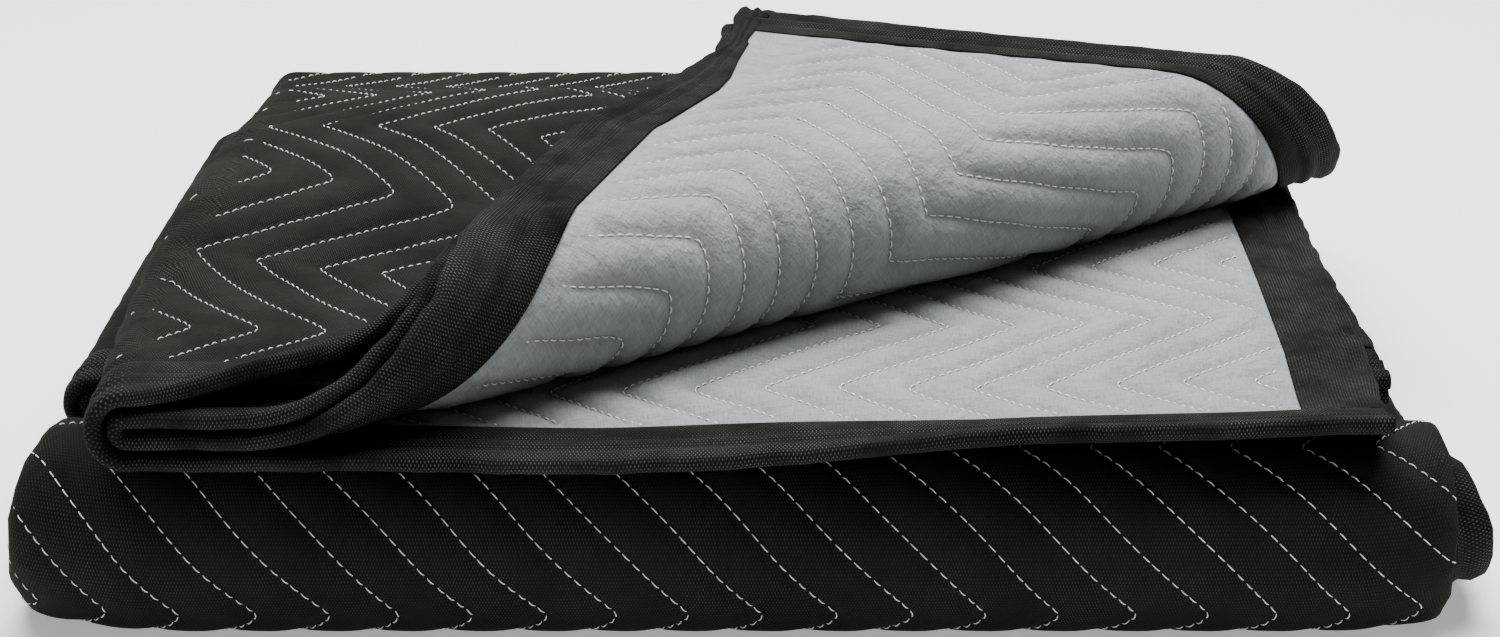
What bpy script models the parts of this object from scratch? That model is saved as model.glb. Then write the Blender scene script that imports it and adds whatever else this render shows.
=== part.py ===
"""A quilted moving pad, folded into a stack of sixteen layers with one corner turned back.

The pad is a flat rectangle of cloth. A point of it is named by u, its distance from the
right-hand 72 inch edge, v, its distance from the front 80 inch edge, and w, its height over
the middle of the cloth towards the black face. fold() carries such a point into the folded
stack in three steps: the cloth is first folded to a strip of four layers, then the front
right corner of the strip's three upper layers is rolled back, and last the strip is folded
end over end into four sections. All lengths are metres, +Z is up and the front is -Y.
"""

import math
from collections import namedtuple

import bmesh
import bpy
import numpy as np
from mathutils import Vector
from mathutils.geometry import delaunay_2d_cdt

# ---------------------------------------------------------------- driving dimensions
PAD_U = 2.032            # 80 inches, across the strip
PAD_V = 1.829            # 72 inches, along the strip
HALF_THICK = 0.0023      # half of the quilted cloth
PITCH = 0.0057           # from one layer to the next

TAPE_LEG = 0.032         # how far the binding reaches in from the edge
TAPE_THICK = 0.0007
TAPE_GAP = 0.0003        # clearance between binding and cloth
RIM_GAP = 0.0006         # clearance between the binding's fold and the cloth's rim
EDGE_HALF = 0.0015       # half of the cloth where the binding clamps it
EDGE_RAMP = 0.0045       # the cloth swells to its full thickness past the binding

STITCH_PITCH = 0.0254    # between neighbouring zigzag seams, along u
ZIG_REACH = 0.071        # how far a seam swings along u
SEAM_SINK = 0.0008       # a seam pulls the face in
PUFF_RISE = 0.0001       # the cloth between two seams stands proud

# how many turns the zigzag seams have made by v, and how far they have strayed along u
Turn = namedtuple("Turn", "v count stray")
TURNS = (Turn(0.0, 0.0, 0.0), Turn(0.43, 6.14, 0.0), Turn(0.98, 15.0, -0.012), Turn(PAD_V, 27.1, -0.012))

# ------------------------------------------------- step one: a strip of four layers
OUTER_LOOP = 1.5 * PITCH
INNER_LOOP = 0.5 * PITCH
LENGTH_LOW = 0.487       # lowest layer, grey face up
LENGTH_TOP = 0.490       # top layer, black face up
LENGTH_THIRD = 0.487     # the layer under the top one
LOW_END = LENGTH_LOW
TOP_START = LOW_END + math.pi * OUTER_LOOP
TOP_END = TOP_START + LENGTH_TOP
THIRD_START = TOP_END + math.pi * INNER_LOOP
THIRD_END = THIRD_START + LENGTH_THIRD
FLAP_START = THIRD_END + math.pi * INNER_LOOP

# where the sides of the strip lie, at a few stations along v
Station = namedtuple("Station", "v left low_edge fold flap_edge")
SIDES = (
    Station(0.00, -0.2225, 0.2180, 0.2400, 0.2480),
    Station(0.10, -0.2270, 0.2240, 0.2400, 0.2460),
    Station(0.25, -0.2270, 0.2260, 0.2450, 0.2440),
    Station(0.35, -0.2260, 0.2280, 0.2440, 0.2450),
    Station(0.44, -0.2240, 0.2300, 0.2370, 0.2420),
    Station(0.504, -0.2230, 0.2340, 0.2360, 0.2400),
    Station(0.62, -0.2540, 0.2460, 0.2380, 0.2440),
    Station(0.95, -0.2605, 0.2590, 0.2400, 0.2600),
    Station(1.01, -0.2580, 0.2540, 0.2430, 0.2570),
    Station(1.05, -0.2500, 0.2450, 0.2420, 0.2450),
    Station(1.12, -0.2500, 0.2480, 0.2450, 0.2490),
    Station(1.45, -0.2450, 0.2370, 0.2340, 0.2390),
    Station(1.65, -0.2490, 0.2285, 0.2310, 0.2320),
    Station(1.83, -0.2505, 0.2390, 0.2350, 0.2380),
)

# the open front edges drift back towards the right
Drift = namedtuple("Drift", "x back")
DRIFT = (Drift(-0.23, 0.0), Drift(-0.05, 0.0), Drift(0.08, 0.007), Drift(0.18, 0.027), Drift(0.25, 0.038))
LOW_DRIFT = 0.3          # share of the drift that the lowest layer takes
LEFT_LOFT = 0.006        # the top section's loops stand looser at the left
LOFT_SPAN = 0.20         # from the middle to the left
LOFT_FADE = 0.10         # and dies out over this much of the section's far end
RIDGE_HIGH = 0.018       # the top layer stands up in a ridge beside the roll
RIDGE_FROM = 0.125       # from this far before the roll's line
RIDGE_OVER = 0.085       # to its full height over this much
RIDGE_FALL = 0.007       # it falls again by this
RIDGE_PAST = 0.235       # from this far before the roll's line
RIDGE_DOWN = 0.090       # over this much
RIDGE_RIGHT = -0.10      # it dies out to the right of this x
RIDGE_WIDE = 0.15        # over this much
RIDGE_FADE = 0.12        # and over this much of the section's far end
LEFT_X = -0.22           # where the left loops take their width from
FRONT_CURL = 0.009       # the low layer's front edge curls up at the right
CURL_REACH = 0.055       # in from the front
CURL_FROM = -0.02        # from this x
CURL_OVER = 0.12         # to full height over this much

# ------------------------------------------------- step two: the corner rolled back
ROLL_ANGLE = math.radians(39.5)      # the roll's direction, from +X towards +Y
ROLL_AT = (-0.103, -0.0137)          # a point under its outermost line
ROLL_RADIUS = 0.0292                 # to the middle of the outermost layer
ROLL_TURN = math.radians(176.0)
ROLL_SLIP = 0.35                     # how freely the three layers slide in it
INNER_WIDE = 0.022                   # the innermost layer lifts off earlier near the front
INNER_TIGHT = 0.0070                 # and creases with this radius
CREASE_FROM = 0.06                   # the crease opens out from here along the roll
CREASE_OVER = 0.16                   # over this much
CREASE_REACH = 0.15                  # how far the crease leans past the roll's line
JOIN_X = 0.10                        # the upper two layers ease into their closed fold from here
JOIN_OVER = 0.10                     # over this much

# ------------------------------------------------- step three: the strip end over end
FRONT_Y = -0.030
TOP_SECTION = 0.450
BACK_HEIGHT = 0.0800                 # middle of the top section
BASE_SECTION = 0.415
BASE_HEIGHT = 1.5 * PITCH + HALF_THICK
FRONT_BEND = 0.0230                  # the full bend at the front
SETTLE = 0.072                       # length in which the third section sinks to its place
INNER_BACK = 0.010                   # the inner back fold stops this much short of the outer
SLAB = 4 * PITCH
ORIGIN_Y = 0.2180                    # the model's origin, from the front contact line

CORNER_ROW = TAPE_LEG + 0.001        # the side tapes stop here, short of the front and end tapes
EDGES = {"front": (1, False), "end": (1, True), "low": (0, False), "flap": (0, True)}
STEP = 2e-4                          # for the slope of the folded surface
MERGE = 2e-4                         # flat points closer than this are one point
SHEAR = 0.05                         # leans the flat grid so that both faces are cut alike
ON_LINE = 1e-5                       # closer than this to a line counts as on it
SLIVER = 1e-8                        # smallest triangle of the flat grid
SHARP = math.radians(50)

# ------------------------------------------------- how finely the pad is cut
LOOP_PARTS = 8                       # across the outer left loop
FOLD_PARTS = 6                       # across the tight folds
BEND_PARTS = {"outer_back": 8, "front": 8, "sink": 2, "level": 2, "inner_back": 6}
COLUMN_PLACES = (-0.155, -0.085, 0.0, 0.11)
COLUMN_SPAN = (-0.216, 0.235)        # x of the strip's sides, for placing those columns
TURN_ROWS = tuple(range(1, 9)) + (15, 16)
ROW_GAP = 0.002                      # rows closer than this are one row
TURN_GAP = 0.005                     # a turning row replaces one that is this close
ROLL_STEPS = 9                       # lines across the roll
ROLL_OVER = 1.06                     # the last of them lies this much past its turn
ROLL_SPAN = (-0.06, 0.46)            # the lines' ends, along the roll
ROLL_POINTS = 14
ROLL_MARGIN = 0.04                   # the lines stop this short of the section's end
SLOPE_PARTS = 3                      # lines on the innermost layer's slope
RIDGE_LINES = (0.125, 0.165, 0.205, 0.250)   # lines along the ridge, before the roll's line
RIDGE_SPAN = (-0.06, 0.38)
RIDGE_POINTS = 5

# ------------------------------------------------- where the quilting shows
QUILT_MARGIN = 0.004
QUILT_DEEP = 0.30                    # how far back from the front it shows under the roll
QUILT_LEFT = -0.14
QUILT_SINK = 0.03                    # how far it shows past the front bend


def smooth(value):
    value = np.clip(value, 0.0, 1.0)
    return value * value * (3.0 - 2.0 * value)


Bend = namedtuple("Bend", "name length turn")


def strip_bends():
    """The strip's middle line seen from the right: sections and the bends between them."""
    back_radius = (BACK_HEIGHT - BASE_HEIGHT) / 2
    sink = BASE_HEIGHT + 2 * FRONT_BEND - (BASE_HEIGHT + SLAB)
    sway = 2 * math.atan2(sink, SETTLE)
    sway_radius = SETTLE / (2 * math.sin(sway))
    bends = [
        Bend("top", TOP_SECTION, 0.0),
        Bend("outer_back", math.pi * back_radius, -math.pi),
        Bend("base", BASE_SECTION, 0.0),
        Bend("front", math.pi * FRONT_BEND, -math.pi),
        Bend("sink", sway * sway_radius, -sway),
        Bend("level", sway * sway_radius, sway),
        Bend("third", BASE_SECTION - INNER_BACK - SETTLE, 0.0),
        Bend("inner_back", math.pi * SLAB / 2, math.pi),
    ]
    used = sum(bend.length for bend in bends)
    bends.append(Bend("tucked_end", PAD_V - used, 0.0))
    return bends


BENDS = strip_bends()
BEND_START = {}
_at = 0.0
for _bend in BENDS:
    BEND_START[_bend.name] = _at
    _at += _bend.length


def strip_line(v):
    """Place and heading of the strip's middle line at v, in the Y-Z plane."""
    y = np.zeros_like(v)
    z = np.zeros_like(v)
    heading = np.zeros_like(v)
    at_y, at_z, angle, start = FRONT_Y, BACK_HEIGHT, 0.0, 0.0
    for index, bend in enumerate(BENDS):
        low = -np.inf if index == 0 else start
        high = np.inf if index == len(BENDS) - 1 else start + bend.length
        here = (v >= low) & (v < high)
        run = v[here] - start
        if bend.turn == 0.0:
            y[here] = at_y + run * math.cos(angle)
            z[here] = at_z + run * math.sin(angle)
            heading[here] = angle
            at_y += bend.length * math.cos(angle)
            at_z += bend.length * math.sin(angle)
        else:
            rate = bend.turn / bend.length
            now = angle + rate * run
            y[here] = at_y + (np.sin(now) - math.sin(angle)) / rate
            z[here] = at_z - (np.cos(now) - math.cos(angle)) / rate
            heading[here] = now
            at_y += (math.sin(angle + bend.turn) - math.sin(angle)) / rate
            at_z -= (math.cos(angle + bend.turn) - math.cos(angle)) / rate
            angle += bend.turn
        start += bend.length
    return y, z, heading


def top_rise(x, v):
    """How far the top layer stands above a close stack, in the top section."""
    before = -roll_frame(x, FRONT_Y + v)[0]
    loft = LEFT_LOFT * smooth(-x / LOFT_SPAN) * smooth((TOP_SECTION - v) / LOFT_FADE)
    ridge = RIDGE_HIGH * smooth((before - RIDGE_FROM) / RIDGE_OVER)
    ridge = ridge - RIDGE_FALL * smooth((before - RIDGE_PAST) / RIDGE_DOWN)
    ridge = ridge * (1.0 - smooth((x - RIDGE_RIGHT) / RIDGE_WIDE))
    return loft + ridge * smooth((TOP_SECTION - v) / RIDGE_FADE)


def left_ease(v):
    """How much wider the left loops are than a tight fold, at v."""
    return 1.0 + top_rise(LEFT_X, v) / (2 * OUTER_LOOP)


def side_places(v):
    """The centres of the left and right loops and the two free edges, at v."""
    stations = [s.v for s in SIDES]
    left = np.interp(v, stations, [s.left for s in SIDES]) + HALF_THICK + OUTER_LOOP * left_ease(v)
    right = np.interp(v, stations, [s.fold for s in SIDES]) - HALF_THICK - INNER_LOOP
    low_edge = np.interp(v, stations, [s.low_edge for s in SIDES])
    flap_edge = np.interp(v, stations, [s.flap_edge for s in SIDES])
    return left, right, low_edge, flap_edge


def strip_section(u, v):
    """Across the strip: x, and the height over the strip's middle."""
    left, right, low_edge, flap_edge = side_places(v)
    ease = left_ease(v)

    def part(start, end):
        return (u - start) / (end - start)

    outer = math.pi * part(LOW_END, TOP_START)
    fold = math.pi * part(TOP_END, THIRD_START)
    inner = math.pi * part(THIRD_END, FLAP_START)
    pieces = (
        (u < LOW_END, low_edge + (left - low_edge) * part(0.0, LOW_END), -OUTER_LOOP),
        (u < TOP_START, left - ease * OUTER_LOOP * np.sin(outer), -OUTER_LOOP * np.cos(outer)),
        (u < TOP_END, left + (right - left) * part(TOP_START, TOP_END), OUTER_LOOP),
        (u < THIRD_START, right + INNER_LOOP * np.sin(fold), PITCH + INNER_LOOP * np.cos(fold)),
        (u < THIRD_END, right + (left - right) * part(THIRD_START, THIRD_END), INNER_LOOP),
        (u < FLAP_START, left - ease * INNER_LOOP * np.sin(inner), INNER_LOOP * np.cos(inner)),
    )
    x = left + (flap_edge - left) * part(FLAP_START, PAD_U)
    height = np.full_like(x, -INNER_LOOP)
    for inside, piece_x, piece_height in reversed(pieces):
        x = np.where(inside, piece_x, x)
        height = np.where(inside, piece_height, height)
    return x, height


def roll_frame(x, y):
    """Distance past the roll's outermost line, and distance along it."""
    along = (math.cos(ROLL_ANGLE), math.sin(ROLL_ANGLE))
    past = (along[1], -along[0])
    dx = x - ROLL_AT[0]
    dy = y - ROLL_AT[1]
    return dx * past[0] + dy * past[1], dx * along[0] + dy * along[1], past, along


def roll_corner(u, v, flat_x, x, y, z):
    """Roll the three upper layers of the top section back over the diagonal."""
    past_line, along_line, past, along = roll_frame(x, y)
    q = past_line + ROLL_RADIUS + HALF_THICK
    centre = BACK_HEIGHT - INNER_LOOP + ROLL_RADIUS
    radius = centre - z
    middle = ROLL_RADIUS - PITCH
    free = 1.0 - smooth((flat_x - JOIN_X) / JOIN_OVER)
    arc = middle + ROLL_SLIP * (radius - middle)
    joined = middle - ROLL_SLIP * INNER_LOOP
    arc = np.where(u < THIRD_END, arc * free + joined * (1.0 - free), arc)

    crease = np.where(u < TOP_END, 1.0 - smooth((along_line - CREASE_FROM) / CREASE_OVER), 0.0)
    wide = INNER_WIDE * crease
    tight = radius + (INNER_TIGHT - radius) * crease
    rise = 2.0 * (radius - tight)
    reach = CREASE_REACH * (radius - tight)
    run = q + wide
    total = wide + arc * ROLL_TURN
    slope = wide + reach
    path = np.clip(run / total, 0.0, 1.0) * (slope + ROLL_TURN * tight)
    climb = np.clip(path / np.maximum(slope, 1e-9), 0.0, 1.0)
    turn = np.clip((path - slope) / tight, 0.0, ROLL_TURN)
    rest = np.maximum(run - total, 0.0)
    on_slope = path < slope
    out = np.where(on_slope, slope * climb - wide, reach + tight * np.sin(turn))
    up = np.where(on_slope, z + rise * smooth(climb), z + rise + tight - tight * np.cos(turn))
    out = out + rest * math.cos(ROLL_TURN)
    up = up + rest * math.sin(ROLL_TURN)

    from_line = out - ROLL_RADIUS - HALF_THICK
    rolled = (u > TOP_START) & (v < TOP_SECTION) & (run > 0.0)
    new_x = ROLL_AT[0] + along[0] * along_line + past[0] * from_line
    new_y = ROLL_AT[1] + along[1] * along_line + past[1] * from_line
    return np.where(rolled, new_x, x), np.where(rolled, new_y, y), np.where(rolled, up, z)


def middle_surface(u, v):
    """The middle of the cloth, folded."""
    x, height = strip_section(u, v)
    y, z, heading = strip_line(v)
    in_top = v < TOP_SECTION
    rise = top_rise(x, v)
    height = np.where(in_top, height + rise * (height + OUTER_LOOP) / (2 * OUTER_LOOP), height)
    share = np.where(u < TOP_START, LOW_DRIFT, 1.0)
    back = share * np.interp(x, [d.x for d in DRIFT], [d.back for d in DRIFT])
    y = np.where(in_top, y + back * (1.0 - v / TOP_SECTION), y)
    near_front = np.clip(1.0 - v / CURL_REACH, 0.0, 1.0)
    curl = FRONT_CURL * smooth((x - CURL_FROM) / CURL_OVER) * near_front ** 2
    height = np.where(in_top & (u < LOW_END), height + curl, height)
    stack_y = y - np.sin(heading) * height
    stack_z = z + np.cos(heading) * height
    return roll_corner(u, v, x, x, stack_y, stack_z)


def fold(u, v, w):
    """A point of the flat pad, carried into the folded stack."""
    u, v, w = np.broadcast_arrays(np.asarray(u, float), np.asarray(v, float), np.asarray(w, float))
    place = np.stack(middle_surface(u, v), axis=-1)
    along_u = np.stack(middle_surface(u + STEP, v), -1) - np.stack(middle_surface(u - STEP, v), -1)
    along_v = np.stack(middle_surface(u, v + STEP), -1) - np.stack(middle_surface(u, v - STEP), -1)
    normal = np.cross(along_u, along_v)
    normal /= np.linalg.norm(normal, axis=-1, keepdims=True)
    place = place + normal * w[..., None]
    place[..., 1] -= ORIGIN_Y
    return place


# ---------------------------------------------------------------- quilting
def turn_row(count):
    """The v at which the seams have made this many turns."""
    return float(np.interp(count, [t.count for t in TURNS], [t.v for t in TURNS]))


def zigzag(v):
    """How far a seam has swung along u, at v."""
    stations = [t.v for t in TURNS]
    turns = np.interp(v, stations, [t.count for t in TURNS])
    stray = np.interp(v, stations, [t.stray for t in TURNS])
    return ZIG_REACH * np.abs(2.0 * ((turns / 2) % 1.0) - 1.0) + stray


def face_height(u, v, quilted):
    """Half thickness of the cloth at a point of one face."""
    edge = np.minimum(np.minimum(u, PAD_U - u), np.minimum(v, PAD_V - v))
    swell = smooth((edge - TAPE_LEG) / EDGE_RAMP)
    phase = ((u + zigzag(v)) / STITCH_PITCH) % 1.0
    puff = 1.0 - np.abs(2.0 * phase - 1.0)
    relief = np.where(quilted, -SEAM_SINK + (SEAM_SINK + PUFF_RISE) * puff, 0.0)
    return EDGE_HALF + (HALF_THICK - EDGE_HALF + relief) * swell


def flat_place(u, v):
    """Where a point of the top section lies before its corner is rolled."""
    x, _ = strip_section(u, v)
    return x, FRONT_Y + v


def is_quilted(u, v, side):
    """Whether the face shows at this point, so that its quilting is modelled."""
    inner = (v > TAPE_LEG + EDGE_RAMP) & (v < PAD_V - TAPE_LEG - EDGE_RAMP)
    x, y = flat_place(u, v)
    past_line, _, _, _ = roll_frame(x, y)
    if side > 0:
        on_top = (u > TOP_START) & (u < TOP_END)
        before_roll = past_line < -ROLL_RADIUS - INNER_WIDE - QUILT_MARGIN
        top = (v < BEND_START["base"] - QUILT_MARGIN) & (before_roll | (v > TOP_SECTION))
        front = (v > BEND_START["front"] + QUILT_MARGIN) & (v < BEND_START["sink"] + QUILT_SINK)
        return inner & on_top & (top | front)
    under_roll = (v < QUILT_DEEP) & (past_line > -ROLL_RADIUS)
    low = (u > TAPE_LEG + EDGE_RAMP) & (u < LOW_END) & (x > QUILT_LEFT)
    flap = (u > FLAP_START) & (u < PAD_U - TAPE_LEG - EDGE_RAMP)
    return inner & under_roll & (low | flap)


# ---------------------------------------------------------------- points on the flat pad
def spread(start, end, parts):
    return [start + (end - start) * i / parts for i in range(parts + 1)]


def loop_columns():
    """Columns that run the whole length of the pad: its edges and its loops."""
    columns = [0.0, TAPE_LEG, TAPE_LEG + EDGE_RAMP]
    columns += spread(LOW_END, TOP_START, LOOP_PARTS)
    columns += spread(TOP_END, THIRD_START, FOLD_PARTS)
    columns += spread(THIRD_END, FLAP_START, FOLD_PARTS)
    columns += [PAD_U - TAPE_LEG - EDGE_RAMP, PAD_U - TAPE_LEG, PAD_U]
    return columns


def flat_columns():
    """Columns in the middle of the layers, for the top section alone."""
    left, right = COLUMN_SPAN
    columns = []
    for start, end, forward in (
        (0.0, LOW_END, False),
        (TOP_START, TOP_END, True),
        (THIRD_START, THIRD_END, False),
        (FLAP_START, PAD_U, True),
    ):
        for x in COLUMN_PLACES:
            share = (x - left) / (right - left)
            share = share if forward else 1.0 - share
            columns.append(start + (end - start) * share)
    return columns


def rows():
    """Rows across the pad, close together where the strip bends."""
    wanted = [0.0, TAPE_LEG, TAPE_LEG + EDGE_RAMP]
    wanted += [PAD_V - TAPE_LEG - EDGE_RAMP, PAD_V - TAPE_LEG, PAD_V]
    for bend in BENDS:
        if bend.name in BEND_PARTS:
            start = BEND_START[bend.name]
            wanted += spread(start, start + bend.length, BEND_PARTS[bend.name])
    wanted += [s.v for s in SIDES if TOP_SECTION < s.v < SIDES[-1].v]
    kept = []
    for v in sorted(wanted):
        if not kept or v - kept[-1] > ROW_GAP:
            kept.append(v)
    for turn in TURN_ROWS:
        v = turn_row(turn)
        near = [row for row in kept if abs(row - v) < TURN_GAP]
        for row in near:
            kept.remove(row)
        kept.append(v)
    return sorted(kept)


Layer = namedtuple("Layer", "name start end")
UPPER_LAYERS = (
    Layer("top", TOP_START, TOP_END),
    Layer("third", THIRD_START, THIRD_END),
    Layer("flap", FLAP_START, PAD_U),
)


def diagonal(layer, offset, span, count):
    """A line of one layer that runs along the roll, this far past its outermost line."""
    line = []
    for along_line in np.linspace(*span, count):
        x = ROLL_AT[0] + math.cos(ROLL_ANGLE) * along_line + math.sin(ROLL_ANGLE) * offset
        y = ROLL_AT[1] + math.sin(ROLL_ANGLE) * along_line - math.cos(ROLL_ANGLE) * offset
        back = np.interp(x, [d.x for d in DRIFT], [d.back for d in DRIFT])
        v = (y - FRONT_Y - back) / (1.0 - back / TOP_SECTION)
        left, right, _, flap_edge = side_places(v)
        if layer.name == "top":
            share = (x - left) / (right - left)
        elif layer.name == "third":
            share = 1.0 - (x - left) / (right - left)
        else:
            share = (x - left) / (flap_edge - left)
        line.append((layer.start + (layer.end - layer.start) * share, v, layer.start, layer.end))
    return clip_line(line)


def roll_lines():
    """Lines along the rolled corner, in pieces between points (u, v), for each of its layers."""
    lines = []
    steps = spread(0.0, (ROLL_RADIUS - PITCH) * ROLL_TURN * ROLL_OVER, ROLL_STEPS)
    slope = spread(-INNER_WIDE, 0.0, SLOPE_PARTS)[:-1]
    for layer in UPPER_LAYERS:
        for q in (slope + steps if layer.name == "top" else steps):
            offset = q - ROLL_RADIUS - HALF_THICK
            lines.append((layer.name, diagonal(layer, offset, ROLL_SPAN, ROLL_POINTS)))
    return lines


def ridge_lines():
    """Lines along the ridge beside the roll, in pieces between points (u, v)."""
    pieces = []
    for layer in UPPER_LAYERS:
        for before in RIDGE_LINES:
            pieces += diagonal(layer, -before, RIDGE_SPAN, RIDGE_POINTS)
    return pieces


def clip_line(line):
    """Cut a line to the pad and to its own layer, with a point on each border it crosses."""
    pieces = []
    for first, second in zip(line, line[1:]):
        u0, v0, start, end = first
        u1, v1 = second[:2]
        low, high = 0.0, 1.0
        for a, b, lower, upper in ((u0, u1, start, end), (v0, v1, 0.0, TOP_SECTION - ROLL_MARGIN)):
            if abs(b - a) < 1e-12:
                continue
            t0, t1 = sorted(((lower - a) / (b - a), (upper - a) / (b - a)))
            low = max(low, t0)
            high = min(high, t1)
        if high - low < 1e-6:
            continue
        pieces.append(((u0 + (u1 - u0) * low, v0 + (v1 - v0) * low),
                       (u0 + (u1 - u0) * high, v0 + (v1 - v0) * high)))
    return pieces


def across_fold(lines):
    """Carry the rolled corner's lines through the closed fold at the right."""
    segments = []
    for name, pieces in lines:
        if name != "top":
            continue
        for _, (u, v) in pieces:
            if abs(u - TOP_END) < ON_LINE:
                columns = spread(TOP_END, THIRD_START, FOLD_PARTS)
                segments += [((a, v), (b, v)) for a, b in zip(columns, columns[1:])]
    return segments


def seam_lines(side, all_rows):
    """Seams and the crests between them, where the face shows."""
    segments = []
    half = STITCH_PITCH / 2
    count = int((PAD_U + ZIG_REACH) / half) + 2
    for first, second in zip(all_rows, all_rows[1:]):
        for i in range(count):
            a = (i * half - float(zigzag(first)), first)
            b = (i * half - float(zigzag(second)), second)
            show_a = 0.0 < a[0] < PAD_U and bool(is_quilted(np.array(a[0]), np.array(a[1]), side))
            show_b = 0.0 < b[0] < PAD_U and bool(is_quilted(np.array(b[0]), np.array(b[1]), side))
            if show_a and show_b:
                segments.append((a, b))
    return segments


def column_segments(columns, all_rows, side, last_row):
    """Pieces of the columns between rows, left out where the quilting takes their place."""
    segments = []
    for u in columns:
        for first, second in zip(all_rows, all_rows[1:]):
            if first > last_row:
                continue
            a = bool(is_quilted(np.array(u), np.array(first + 1e-4), side))
            b = bool(is_quilted(np.array(u), np.array(second - 1e-4), side))
            if not (a and b):
                segments.append(((u, first), (u, second)))
    return segments


class FlatFace:
    """One face of the flat pad cut into triangles."""

    def __init__(self, side):
        self.side = side
        all_rows = rows()
        segments = []
        for v in all_rows:
            segments.append(((0.0, v), (PAD_U, v)))
        segments += column_segments(loop_columns(), all_rows, side, PAD_V)
        segments += column_segments(flat_columns(), all_rows, side, TOP_SECTION - 1e-6)
        segments += seam_lines(side, all_rows)
        lines = roll_lines()
        for _, pieces in lines:
            segments += pieces
        segments += across_fold(lines)
        segments += ridge_lines()
        for v in (CORNER_ROW, PAD_V - CORNER_ROW):
            segments.append(((0.0, v), (TAPE_LEG, v)))
            segments.append(((PAD_U - TAPE_LEG, v), (PAD_U, v)))
        index = {}
        points = []
        edges = []
        for a, b in segments:
            ends = []
            for u, v in (a, b):
                key = (round(u, 5), round(v, 5))
                if key not in index:
                    index[key] = len(points)
                    points.append(Vector((float(u + SHEAR * v), float(v))))
                ends.append(index[key])
            if ends[0] != ends[1]:
                edges.append(tuple(ends))
        result = delaunay_2d_cdt(points, edges, [], 0, MERGE)
        self.uv = np.array([[p.x - SHEAR * p.y, p.y] for p in result[0]])
        for axis, limit in enumerate((PAD_U, PAD_V)):
            column = self.uv[:, axis]
            column[column < ON_LINE] = 0.0
            column[column > limit - ON_LINE] = limit
        self.triangles = [tuple(face) for face in result[2] if self.area(face) > SLIVER]

    def area(self, face):
        a, b, c = self.uv[list(face)]
        return abs((b[0] - a[0]) * (c[1] - a[1]) - (b[1] - a[1]) * (c[0] - a[0])) / 2

    def heights(self):
        quilted = is_quilted(self.uv[:, 0], self.uv[:, 1], self.side)
        return face_height(self.uv[:, 0], self.uv[:, 1], quilted)


def rim_order(uv):
    """The points on the pad's outline, once round, as indices."""
    u, v = uv[:, 0], uv[:, 1]
    front = [i for i in np.argsort(u) if v[i] < ON_LINE]
    right = [i for i in np.argsort(v) if u[i] > PAD_U - ON_LINE]
    back = [i for i in np.argsort(-u) if v[i] > PAD_V - ON_LINE]
    left = [i for i in np.argsort(-v) if u[i] < ON_LINE]
    ring = []
    for side in (front, right, back, left):
        for i in side:
            if not ring or ring[-1] != i:
                ring.append(i)
    if ring[0] == ring[-1]:
        ring.pop()
    return ring


def make_object(name, points, faces, slots, materials):
    mesh = bpy.data.meshes.new(name)
    mesh.from_pydata([tuple(p) for p in points], [], faces)
    for material in materials:
        mesh.materials.append(material)
    mesh.polygons.foreach_set("material_index", slots)
    mesh.update()
    mesh.shade_smooth()
    mesh.set_sharp_from_angle(angle=SHARP)
    made = bpy.data.objects.new(name, mesh)
    bpy.context.scene.collection.objects.link(made)
    return made


def make_cloth(black, grey, materials):
    """The whole quilted pad as one closed solid."""
    top = fold(black.uv[:, 0], black.uv[:, 1], black.heights())
    bottom = fold(grey.uv[:, 0], grey.uv[:, 1], -grey.heights())
    shift = len(top)
    faces = list(black.triangles)
    slots = [0] * len(faces)
    faces += [tuple(shift + i for i in reversed(tri)) for tri in grey.triangles]
    slots += [1] * len(grey.triangles)
    ring_top = rim_order(black.uv)
    ring_bottom = rim_order(grey.uv)
    assert len(ring_top) == len(ring_bottom)
    for i in range(len(ring_top)):
        j = (i + 1) % len(ring_top)
        quad = (ring_top[i], shift + ring_bottom[i], shift + ring_bottom[j], ring_top[j])
        faces.append((quad[0], quad[1], quad[2]))
        faces.append((quad[0], quad[2], quad[3]))
        slots += [0, 0]
    return make_object("pad_cloth", np.vstack((top, bottom)), faces, slots, materials)


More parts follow.
